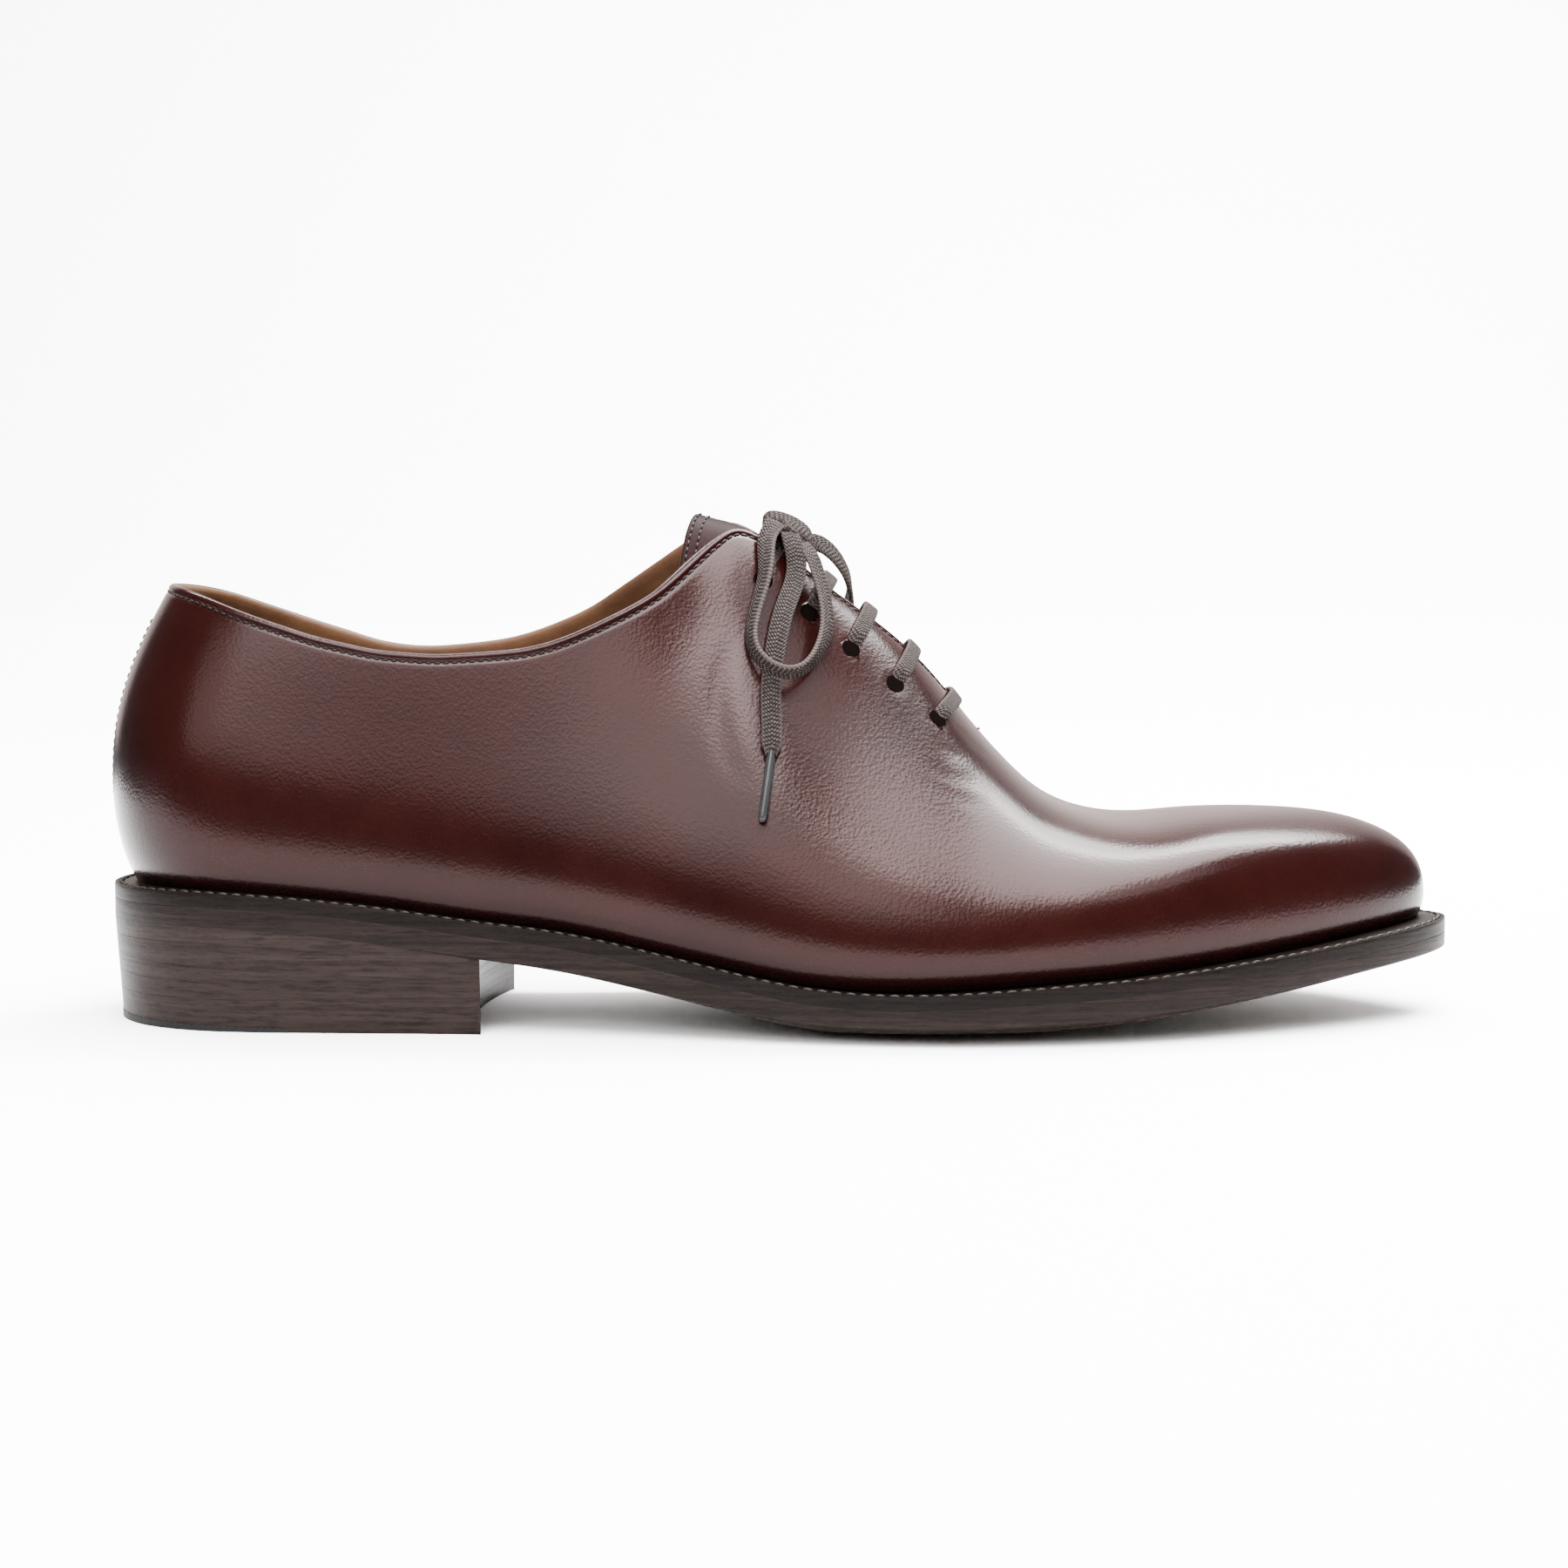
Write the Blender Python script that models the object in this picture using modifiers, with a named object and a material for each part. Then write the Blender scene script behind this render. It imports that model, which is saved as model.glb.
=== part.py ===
"""A right whole cut oxford: sole, stacked heel, one-piece hollow upper, tongue and flat laces.

Sizes are in millimetres and become metres where a mesh is made. In the tables x runs from the back of
the heel to the tip of the toe, y from the lateral side (minus) to the medial side (plus), z is up from
the floor, and the shoe is moved onto its own centre when it is built.
"""

import math

import bmesh
import bpy
import numpy as np
from mathutils import Matrix, Vector

# Driving sizes
MM = 0.001
LENGTH = 303.0
GAP = 0.3
WALL = 2.0
WELT_THICK = 2.9
WELT_OVERLAP = 1.2
INSOLE_CLEAR = 2.4
INSOLE_RISE = 1.3
TOP_PIECE = 7.2
HEEL_TAPER = 1.5
BREAST_LATERAL = 86.0
BREAST_MEDIAL = 87.5
BREAST_HOLLOW = 4.5
NOTCH = 10.0
NOTCH_TOP = 13.0
SLIT_END = 196.5
TONGUE_THICK = 1.6
TONGUE_CLEAR = 0.6
EYELET_HOLE = 3.0
LACE_WIDE = 3.8
LACE_THICK = 1.2
LACE_CORD = 2.4
AGLET_WIDE = 2.4
AGLET_LONG = 14.5
SKIN_ROWS = 13

# x, half width of the sole edge on the lateral side, and on the medial side
OUTLINE = (
    (0, 0, 0),
    (8, 20.5, 20.5),
    (20, 28.8, 28.6),
    (40, 32.8, 32.0),
    (62, 34.0, 32.4),
    (86, 35.4, 31.6),
    (110, 38.4, 30.6),
    (135, 43.6, 33.2),
    (160, 48.9, 40.2),
    (180, 51.4, 46.6),
    (200, 51.6, 50.9),
    (220, 49.4, 52.6),
    (240, 44.2, 50.6),
    (260, 36.2, 44.2),
    (277, 27.4, 34.6),
    (290, 18.6, 23.8),
    (298, 10.8, 13.6),
    (303, -0.8, 0.8),
)

# x, top of the welt, feather edge in from the sole edge, bulge of the upper over it, height of the bulge
FEATHER = (
    (0, 30.4, 5.0, 4.8, 22.0),
    (20, 30.7, 4.2, 4.0, 20.0),
    (40, 29.8, 3.8, 3.4, 17.0),
    (60, 28.0, 3.5, 3.2, 15.5),
    (86, 24.6, 3.2, 3.5, 14.0),
    (103, 22.6, 3.2, 3.6, 13.4),
    (121, 19.2, 3.2, 3.6, 13.0),
    (139, 15.3, 3.6, 3.4, 12.4),
    (153, 12.6, 4.1, 3.2, 11.8),
    (170, 11.1, 4.7, 3.1, 10.8),
    (195, 11.7, 5.2, 2.8, 9.4),
    (211, 12.8, 5.3, 2.5, 8.9),
    (225, 13.7, 5.4, 2.3, 8.3),
    (239, 14.9, 5.6, 2.1, 7.8),
    (254, 16.5, 5.8, 1.9, 7.2),
    (269, 18.2, 6.0, 1.8, 6.6),
    (284, 20.0, 6.2, 1.7, 6.0),
    (303, 22.0, 6.5, 1.6, 5.5),
)

# x, thickness of welt and outsole together at the edge
SOLE_EDGE = (
    (0, 7.5),
    (60, 7.6),
    (86, 8.0),
    (140, 7.8),
    (160, 7.0),
    (181, 7.1),
    (211, 7.6),
    (254, 7.3),
    (284, 6.8),
    (303, 6.8),
)

# x, height of the tread along the middle of the sole, flat on the floor under the ball
TREAD = (
    (86, 16.6),
    (100, 14.0),
    (120, 9.6),
    (140, 4.6),
    (155, 1.2),
    (165, 0.0),
    (205, 0.0),
    (215, 0.6),
    (235, 3.0),
    (260, 7.0),
    (285, 11.6),
    (303, 15.0),
)

# x, height of the ridge over the instep and toes, its place across the shoe
RIDGE = (
    (0, 117, 0.0),
    (20, 118, 0.0),
    (40, 122, 0.0),
    (75, 130, -1.0),
    (100, 133, -2.2),
    (120, 125, -2.4),
    (133, 115.8, -1.8),
    (141, 113.6, -1.2),
    (146, 111.3, -0.8),
    (162, 98.2, 1.0),
    (172.4, 90.2, 2.2),
    (183, 80.4, 3.2),
    (195.3, 65.4, 4.1),
    (203, 56.9, 4.8),
    (209, 51.4, 5.2),
    (215, 47.8, 5.6),
    (221, 45.7, 5.9),
    (227, 44.7, 5.9),
    (233, 44.6, 5.6),
    (239, 45.2, 5.2),
    (245, 45.9, 4.6),
    (251, 46.3, 3.9),
    (257, 46.5, 3.2),
    (264, 46.5, 2.4),
)

# x, then for the lateral and the medial side: side width and its height, shoulder width and its
# height, width of the crown, as shares of the section's width and height
SECTION = (
    (0, 0.915, 0.53, 0.59, 0.79, 0.28, 0.915, 0.53, 0.59, 0.79, 0.28),
    (40, 0.905, 0.40, 0.66, 0.80, 0.28, 0.93, 0.49, 0.63, 0.79, 0.28),
    (75, 0.90, 0.36, 0.66, 0.78, 0.28, 0.95, 0.43, 0.67, 0.76, 0.28),
    (110, 0.83, 0.37, 0.53, 0.76, 0.24, 0.91, 0.42, 0.60, 0.77, 0.24),
    (141, 0.83, 0.42, 0.47, 0.77, 0.20, 0.89, 0.42, 0.56, 0.80, 0.27),
    (165, 0.84, 0.42, 0.46, 0.78, 0.18, 0.90, 0.42, 0.54, 0.80, 0.19),
    (195, 0.90, 0.45, 0.53, 0.83, 0.18, 0.95, 0.46, 0.60, 0.84, 0.22),
    (220, 0.965, 0.58, 0.72, 0.93, 0.32, 1.00, 0.52, 0.74, 0.92, 0.35),
    (245, 0.975, 0.63, 0.79, 0.94, 0.38, 0.98, 0.56, 0.74, 0.90, 0.34),
    (270, 0.965, 0.62, 0.78, 0.91, 0.36, 0.96, 0.59, 0.72, 0.87, 0.32),
    (303, 0.956, 0.594, 0.71, 0.865, 0.32, 0.956, 0.594, 0.71, 0.865, 0.32),
)

# x, height of the collar on the lateral side; past the facing's corner it rises clear of the leather
COLLAR_LATERAL = (
    (0, 99.0),
    (12, 98.0),
    (16, 97.4),
    (24, 95.3),
    (30, 93.1),
    (37, 90.6),
    (43.5, 88.5),
    (50, 86.5),
    (57, 84.9),
    (63, 83.7),
    (69, 83.1),
    (76, 82.7),
    (82, 82.9),
    (88, 83.3),
    (95, 84.0),
    (102, 85.7),
    (109, 88.5),
    (116.5, 92.1),
    (124, 96.5),
    (129.5, 101.2),
    (135, 106.3),
    (138, 108.6),
    (141, 110.2),
    (150, 114.0),
    (165, 120.0),
)

# x, height of the collar on the medial side
COLLAR_MEDIAL = (
    (0, 99.0),
    (12, 98.0),
    (16, 97.4),
    (24, 95.3),
    (30, 93.1),
    (37, 90.6),
    (43.5, 88.3),
    (50, 86.2),
    (55, 84.5),
    (62, 83.05),
    (69, 82.6),
    (75.5, 83.0),
    (82, 83.7),
    (88, 84.7),
    (94, 86.4),
    (100.5, 88.9),
    (107, 92.0),
    (113, 95.9),
    (119, 100.0),
    (125, 104.1),
    (132, 108.6),
    (140, 111.9),
    (150, 115.0),
    (165, 121.0),
)

# x, half width of the slit between the facings
SLIT = (
    (128, -6.0),
    (136, 3.5),
    (141, 6.6),
    (146, 7.3),
    (161, 5.6),
    (178, 4.5),
    (187, 3.1),
    (195, 0.9),
    (196.5, 0.0),
)

# x and z of the five eyelets of each side, from the top down
EYELETS = (
    (147.0, 98.4),
    (157.3, 91.2),
    (166.6, 83.3),
    (176.6, 75.5),
    (186.2, 67.8),
)

# Routes of the lace, chosen by hand: x, y, z of points from the knot out
LOOP_LATERAL = (
    (150.3, -7.6, 111.0),
    (148.8, -10.2, 109.0),
    (148.0, -17.8, 101.0),
    (145.3, -24.4, 90.2),
    (146.6, -29.8, 82.0),
    (152.8, -31.4, 78.7),
    (159.2, -25.6, 82.6),
    (161.4, -18.0, 91.4),
    (159.6, -12.6, 99.6),
    (157.6, -9.8, 104.4),
    (155.7, -7.6, 106.2),
)
LOOP_MEDIAL = (
    (150.3, 6.4, 111.0),
    (149.2, 9.4, 108.8),
    (149.6, 13.2, 103.8),
    (148.8, 19.0, 94.4),
    (151.0, 24.6, 85.2),
    (156.6, 27.9, 79.6),
    (162.8, 25.2, 81.7),
    (166.6, 17.8, 89.6),
    (167.0, 11.4, 97.2),
    (163.8, 8.4, 103.4),
    (159.2, 7.8, 106.6),
    (155.7, 6.4, 106.2),
)
END_LATERAL = (
    (153.2, -8.4, 108.6),
    (154.2, -10.6, 105.6),
    (154.8, -12.8, 101.2),
    (152.4, -19.4, 92.9),
    (150.2, -25.2, 83.9),
    (149.2, -30.6, 73.8),
    (149.4, -35.2, 64.4),
    (149.2, -36.6, 61.0),
)
END_MEDIAL = (
    (153.2, 7.2, 108.6),
    (153.8, 9.6, 105.2),
    (153.8, 12.4, 101.0),
    (153.4, 17.4, 93.2),
    (154.6, 22.8, 83.4),
    (155.6, 27.4, 72.8),
    (155.4, 31.4, 63.0),
    (155.2, 32.8, 59.4),
)
AGLET_AIM_LATERAL = (147.1, -42.7, 46.1)
AGLET_AIM_MEDIAL = (154.8, 38.0, 44.8)
KNOT_PLACE = (153.0, -0.6, 108.6)
KNOT_HALF = (6.2, 6.8, 3.6)
KNOT_TURN = math.radians(42)


def smooth(xs, ys):
    """A natural cubic spline through the rows of a table."""
    xs = np.array(xs, float)
    ys = np.array(ys, float)
    step = np.diff(xs)
    rows = np.eye(len(xs))
    right = np.zeros(len(xs))
    for i in range(1, len(xs) - 1):
        rows[i, i - 1 : i + 2] = step[i - 1], 2 * (step[i - 1] + step[i]), step[i]
        right[i] = 6 * ((ys[i + 1] - ys[i]) / step[i] - (ys[i] - ys[i - 1]) / step[i - 1])
    bend = np.linalg.solve(rows, right)

    def value(x):
        x = np.clip(x, xs[0], xs[-1])
        i = np.clip(np.searchsorted(xs, x) - 1, 0, len(xs) - 2)
        s = x - xs[i]
        w = step[i]
        slope = (ys[i + 1] - ys[i]) / w - w * (2 * bend[i] + bend[i + 1]) / 6
        return ys[i] + s * (slope + s * (bend[i] / 2 + s * (bend[i + 1] - bend[i]) / (6 * w)))

    return value


def steady(table):
    """A cubic through a table of two columns that never swings past its rows."""
    xs, ys = np.array(table, float).T
    slope = np.diff(ys) / np.diff(xs)
    both = slope[:-1] * slope[1:]
    middle = np.where(both > 0, 2 * both / np.where(both > 0, slope[:-1] + slope[1:], 1), 0)
    turn = np.concatenate([slope[:1], middle, slope[-1:]])

    def value(x):
        x = np.clip(x, xs[0], xs[-1])
        i = np.clip(np.searchsorted(xs, x) - 1, 0, len(xs) - 2)
        w = xs[i + 1] - xs[i]
        s = (x - xs[i]) / w
        ends = ys[i] * (1 + 2 * s) * (1 - s) ** 2 + ys[i + 1] * s * s * (3 - 2 * s)
        return ends + w * (turn[i] * s * (1 - s) ** 2 - turn[i + 1] * s * s * (1 - s))

    return value


def column(table, k):
    return smooth([row[0] for row in table], [row[k] for row in table])


def closed_curve(points, count):
    """An even closed curve through a ring of points."""
    wrapped = np.array(points[-4:] + points + points[:4], float)
    run = np.concatenate([[0], np.cumsum(np.linalg.norm(np.diff(wrapped, axis=0), axis=1))])
    at = np.linspace(run[4], run[4 + len(points)], count)
    return np.stack([smooth(run, wrapped[:, 0])(at), smooth(run, wrapped[:, 1])(at)], axis=1)


RING = [(x, -lateral) for x, lateral, _ in OUTLINE] + [(x, medial) for x, _, medial in OUTLINE[-2:0:-1]]
EDGE = closed_curve(RING, 4001)
EDGE_IN = np.gradient(np.vstack([EDGE[-2], EDGE, EDGE[1]]), axis=0)[1:-1, ::-1] * (-1, 1)
TIP = int(EDGE[:, 0].argmax())
SHIFT = np.array([LENGTH / 2, (EDGE[:, 1].min() + EDGE[:, 1].max()) / 2, 0])

welt_top = column(FEATHER, 1)
feather_in = column(FEATHER, 2)
bulge = column(FEATHER, 3)
bulge_high = column(FEATHER, 4)
edge_thick = column(SOLE_EDGE, 1)
tread_middle = steady(TREAD)
ridge_z = column(RIDGE, 1)
ridge_y = column(RIDGE, 2)
sections = [column(SECTION, k) for k in range(1, 11)]
collars = {-1: column(COLLAR_LATERAL, 1), 1: column(COLLAR_MEDIAL, 1)}
slit_half = column(SLIT, 1)


def edge_point(x, side):
    """A point of the sole edge at x on one side, and the direction inwards there."""
    part = slice(None, TIP + 1) if side < 0 else slice(None, TIP - 1, -1)
    spot = np.array([np.interp(x, EDGE[part, 0], EDGE[part, k]) for k in (0, 1)])
    inward = np.array([np.interp(x, EDGE[part, 0], EDGE_IN[part, k]) for k in (0, 1)])
    return spot, inward / np.linalg.norm(inward)


def spine(x):
    """The point that the section at x grows from; it slows down to make fans at heel and toe."""
    back = 38 + 0.5 * ((x - 38) + math.hypot(x - 38, 20))
    front = 264 - 0.5 * ((264 - back) + math.hypot(264 - back, 18))
    return np.array([front, ridge_y(front)])


def spline_weights(v):
    """Weights of seven control points for a clamped cubic at each v from 0 to 1."""
    knots = (0, 0, 0, 0, 0.25, 0.5, 0.75, 1, 1, 1, 1)
    v = np.minimum(v, 1 - 1e-9)
    share = [np.where((v >= knots[i]) & (v < knots[i + 1]), 1.0, 0.0) for i in range(10)]
    for degree in (1, 2, 3):
        raised = []
        for i in range(10 - degree):
            left = knots[i + degree] - knots[i]
            right = knots[i + degree + 1] - knots[i + 1]
            rise = (v - knots[i]) / left * share[i] if left else 0.0
            fall = (knots[i + degree + 1] - v) / right * share[i + 1] if right else 0.0
            raised.append(rise + fall)
        share = raised
    return np.array(share)


WEIGHTS = spline_weights(np.linspace(0, 1, 401))


def rib(x, side):
    """The whole section of the last at x on one side, from the feather edge up to the ridge."""
    spot, inward = edge_point(x, side)
    foot = spot + inward * feather_in(x)
    centre = spine(x)
    reach = np.linalg.norm(foot - centre)
    low = welt_top(foot[0]) + GAP
    high = ridge_z(centre[0])
    swell = bulge(x)
    wide = reach + swell
    half = sections[:5] if side < 0 else sections[5:]
    side_wide, side_high, shoulder_wide, shoulder_high, crown = [shape(x) for shape in half]
    net = np.array(
        [
            (reach, low),
            (reach + 0.9 * swell, low + 0.35 * bulge_high(x)),
            (wide + 0.3 * swell, low + 1.25 * bulge_high(x)),
            (side_wide * wide, low + side_high * (high - low)),
            (shoulder_wide * wide, low + shoulder_high * (high - low)),
            (crown * wide, high),
            (0, high),
        ]
    )
    out, up = WEIGHTS.T @ net[:, 0], WEIGHTS.T @ net[:, 1]
    return np.column_stack([centre + out[:, None] * (foot - centre) / reach, up]), out


def soft_min(a, b, k):
    h = np.clip(0.5 + 0.5 * (b - a) / k, 0, 1)
    return b + (a - b) * h - k * h * (1 - h)


def skin_rib(x, side):
    """Even points of the upper's outer face at x, cut off at the collar or at the slit."""
    points, out = rib(x, side)
    if x < SLIT_END:
        under_collar = collars[side](points[:, 0]) - points[:, 2]
        room = soft_min(under_collar, out - slit_half(points[:, 0]), 3.0)
        cut = int(np.argmax(room < 0))
        share = room[cut - 1] / (room[cut - 1] - room[cut])
        end = points[cut - 1] + share * (points[cut] - points[cut - 1])
        points = np.vstack([points[:cut], end])
    run = np.concatenate([[0], np.cumsum(np.linalg.norm(np.diff(points, axis=0), axis=1))])
    at = np.linspace(0, run[-1], SKIN_ROWS)
    return np.column_stack([np.interp(at, run, points[:, k]) for k in range(3)])


def skin_at(x, out):
    """The point of the last at x and at a distance out from the ridge, lateral if it is negative."""
    points, reach = rib(x, -1 if out < 0 else 1)
    top = int(reach.argmax())
    return np.array([np.interp(abs(out), reach[top:][::-1], points[top:, k][::-1]) for k in range(3)])


def skin_normal(x, out):
    along = skin_at(x + 0.6, out) - skin_at(x - 0.6, out)
    across = skin_at(x, out + 0.6) - skin_at(x, out - 0.6)
    normal = np.cross(along, across)
    return normal / np.linalg.norm(normal)


def out_at_height(x, z, side):
    """How far out from the ridge the last has the height z at x."""
    points, reach = rib(x, side)
    top = int(reach.argmax())
    return side * float(np.interp(z, points[top:, 2], reach[top:]))


def stations():
    """The x of each section from the heel to the toe, closer where the shape turns."""
    heel = [40 * (i / 8) ** 2 for i in range(8)]
    quarter = list(np.linspace(40, 126, 10)[:-1])
    corner = list(np.linspace(126, 150, 9)[:-1])
    throat = list(np.linspace(150, SLIT_END, 9)[:-1])
    vamp = list(np.linspace(SLIT_END, 262, 11)[:-1])
    toe = [LENGTH - (LENGTH - 262) * (1 - i / 8) ** 2 for i in range(9)]
    return heel + quarter + corner + throat + vamp + toe


STATIONS = stations()
LOOP = [(x, -1) for x in STATIONS] + [(x, 1) for x in STATIONS[-2:0:-1]]


def clear_scene():
    for thing in list(bpy.data.objects):
        bpy.data.objects.remove(thing, do_unlink=True)


def new_collection(name):
    made = bpy.data.collections.new(name)
    bpy.context.scene.collection.children.link(made)
    return made


def new_material(name, colour, roughness, metallic=0.0):
    made = bpy.data.materials.new(name)
    made.use_nodes = True
    shader = made.node_tree.nodes["Principled BSDF"]
    shader.inputs["Base Color"].default_value = (*colour, 1.0)
    shader.inputs["Roughness"].default_value = roughness
    shader.inputs["Metallic"].default_value = metallic
    return made


def mesh_object(name, points, faces, material, collection, closed=True):
    """An object from points in millimetres of the tables' frame."""
    mesh = bpy.data.meshes.new(name)
    mesh.from_pydata([tuple((np.asarray(p) - SHIFT) * MM) for p in points], [], faces)
    work = bmesh.new()
    work.from_mesh(mesh)
    bmesh.ops.remove_doubles(work, verts=work.verts, dist=1e-6)
    if closed:
        bmesh.ops.recalc_face_normals(work, faces=work.faces)
    work.to_mesh(mesh)
    work.free()
    made = bpy.data.objects.new(name, mesh)
    collection.objects.link(made)
    if material:
        mesh.materials.append(material)
    return made


def ring_faces(rings, size, close_ends):
    """Quads between rings of equal size, each ring closed on itself, and the rings closed or capped."""
    faces = []
    for i in range(rings if close_ends == "loop" else rings - 1):
        here, there = i * size, (i + 1) % rings * size
        for j in range(size):
            k = (j + 1) % size
            faces.append((here + j, there + j, there + k, here + k))
    if close_ends == "caps":
        faces.append(tuple(range(size)))
        faces.append(tuple(range((rings - 1) * size, rings * size)))
    return faces


def plate(name, inset, shares, top, bottom, material, collection):
    """A solid over the whole outline, between two height functions of the point and its share inwards."""
    points = []
    for x, side in LOOP:
        spot, inward = edge_point(x, side)
        rim = spot + inward * inset(x)
        centre = spine(x)
        for height in (top, bottom):
            for share in shares:
                flat = rim + share * (centre - rim)
                points.append((flat[0], flat[1], height(flat[0], share)))
    size = len(shares)
    faces = []
    count = len(LOOP)
    for i in range(count):
        here, there = 2 * size * i, 2 * size * ((i + 1) % count)
        for j in range(size - 1):
            faces.append((here + j, there + j, there + j + 1, here + j + 1))
            low, next_low = here + size, there + size
            faces.append((low + j, low + j + 1, next_low + j + 1, next_low + j))
        faces.append((here, here + size, there + size, there))
    return mesh_object(name, points, faces, material, collection)


def sole_under(x):
    return welt_top(x) - edge_thick(x)


def tread_height(x, share):
    """The outsole's underside: full height at the edge, down to the tread in the middle."""
    edge = sole_under(x)
    if x <= TREAD[0][0]:
        return edge
    fall = max(0.0, 1 - share / 0.45) ** 2
    return tread_middle(x) + (edge - tread_middle(x)) * fall


def make_outsole(material, collection):
    shares = (0, 0.06, 0.14, 0.24, 0.34, 0.45, 0.7, 1)
    top = lambda x, share: welt_top(x) - WELT_THICK - GAP
    plate("outsole", lambda x: 0.0, shares, top, tread_height, material, collection)


def make_insole(material, collection):
    inset = lambda x: feather_in(x) + INSOLE_CLEAR
    top = lambda x, share: welt_top(x) + INSOLE_RISE
    bottom = lambda x, share: welt_top(x) - WELT_THICK
    plate("insole", inset, (0, 0.25, 0.6, 1), top, bottom, material, collection)


def make_welt(material, collection):
    points = []
    for x, side in LOOP:
        spot, inward = edge_point(x, side)
        inner = spot + inward * (feather_in(x) + WELT_OVERLAP)
        for flat, drop in ((spot, 0), (spot, WELT_THICK), (inner, WELT_THICK), (inner, 0)):
            points.append((flat[0], flat[1], welt_top(flat[0]) - drop))
    mesh_object("welt", points, ring_faces(len(LOOP), 4, "loop"), material, collection)


def heel_levels():
    """Height functions of the joints between the lifts, from the outsole down to the top piece."""
    return (
        lambda x: sole_under(x) - GAP,
        lambda x: sole_under(x) - GAP - 3.4,
        lambda x: 15.2 - 3.6 * x / BREAST_LATERAL,
        lambda x: 11.3 - 1.9 * x / BREAST_LATERAL,
        lambda x: TOP_PIECE,
        lambda x: 0.0,
    )


def heel_block(name, top, bottom, material, collection):
    """One lift: the back of the sole's outline down to the hollow breast, drawn in towards the floor."""
    rows = [BREAST_LATERAL * (i / 12) ** 1.6 for i in range(13)]
    across = np.linspace(-1, 1, 9)
    points = []
    for height in (top, bottom):
        for x in rows:
            fade = (x / BREAST_LATERAL) ** 3
            sides = []
            for side, breast in ((-1, BREAST_LATERAL), (1, BREAST_MEDIAL)):
                at = x + (breast - BREAST_LATERAL) * fade
                spot, inward = edge_point(at, side)
                level = height(spot[0])
                sides.append(spot + inward * HEEL_TAPER * max(0.0, 1 - level / sole_under(0)))
            for share in across:
                flat = sides[0] + (sides[1] - sides[0]) * (share + 1) / 2
                flat = flat - (BREAST_HOLLOW * (1 - share * share) * fade, 0)
                points.append((flat[0], flat[1], height(flat[0])))
    wide, count = len(across), len(rows)
    faces = []
    for i in range(count - 1):
        for j in range(wide - 1):
            a = i * wide + j
            b = count * wide + a
            faces.append((a, a + wide, a + wide + 1, a + 1))
            faces.append((b, b + 1, b + wide + 1, b + wide))
    rim = [i * wide for i in range(count)]
    rim += [(count - 1) * wide + j for j in range(1, wide)]
    rim += [i * wide + wide - 1 for i in range(count - 2, 0, -1)]
    for a, b in zip(rim, rim[1:] + rim[:1]):
        faces.append((a, b, b + count * wide, a + count * wide))
    return mesh_object(name, points, faces, material, collection)


def make_notch_cutter(collection):
    """A wedge that takes the medial front corner off the lower lifts, more towards the floor."""
    spot, _ = edge_point(BREAST_MEDIAL, 1)
    points = []
    for z in (-2.0, NOTCH_TOP):
        leg = NOTCH * (1 - z / NOTCH_TOP)
        points.append((spot[0] - leg - 9, spot[1] + 9 - HEEL_TAPER, z))
        points.append((spot[0] + 9, spot[1] - leg - 9 - HEEL_TAPER, z))
        points.append((spot[0] + 30, spot[1] + 30, z))
    return mesh_object("notch_cutter", points, ring_faces(2, 3, "caps"), None, collection)


def cut(target, cutter):
    step = target.modifiers.new("cut", "BOOLEAN")
    step.operation = "DIFFERENCE"
    step.solver = "EXACT"
    step.object = cutter


def make_heel(lift_material, tread_material, collection, cutters):
    levels = heel_levels()
    cutter = make_notch_cutter(cutters)
    for i in range(5):
        low = i == 4
        name = "heel_top_piece" if low else f"heel_lift_{i + 1}"
        top = levels[i] if i == 0 else lambda x, f=levels[i]: f(x) - GAP
        block = heel_block(name, top, levels[i + 1], tread_material if low else lift_material, collection)
        if i > 1:
            cut(block, cutter)


def make_eyelet_cutter(collection):
    """Ten punches, each square to the leather."""
    points, faces = [], []
    sides = 12
    for x, z in EYELETS:
        for side in (-1, 1):
            out = out_at_height(x, z, side)
            middle, normal = skin_at(x, out), skin_normal(x, out)
            flat = np.cross(normal, (0.0, 1.0, 0.0))
            flat = flat / np.linalg.norm(flat)
            other = np.cross(normal, flat)
            start = len(points)
            for reach in (-6, 4):
                for k in range(sides):
                    turn = 2 * math.pi * k / sides
                    rim = math.cos(turn) * flat + math.sin(turn) * other
                    points.append(middle + reach * normal + EYELET_HOLE / 2 * rim)
            faces += [tuple(start + v for v in face) for face in ring_faces(2, sides, "caps")]
    return mesh_object("eyelet_cutter", points, faces, None, collection)


def make_upper(material, collection, cutters):
    """One skin of leather around the last, thickened inwards, with the eyelets punched through."""
    points = [p for x, side in LOOP for p in skin_rib(x, side)]
    faces = []
    count = len(LOOP)
    for i in range(count):
        here, there = i * SKIN_ROWS, (i + 1) % count * SKIN_ROWS
        for j in range(SKIN_ROWS - 1):
            faces.append((here + j, there + j, there + j + 1, here + j + 1))
    upper = mesh_object("upper", points, faces, material, collection, closed=False)
    wall = upper.modifiers.new("wall", "SOLIDIFY")
    wall.thickness = WALL * MM
    wall.offset = -1
    wall.use_even_offset = True
    cut(upper, make_eyelet_cutter(cutters))
    return upper


def tongue_half(x):
    return 24 - 6 * max(0.0, (x - 150) / 54)


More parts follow.
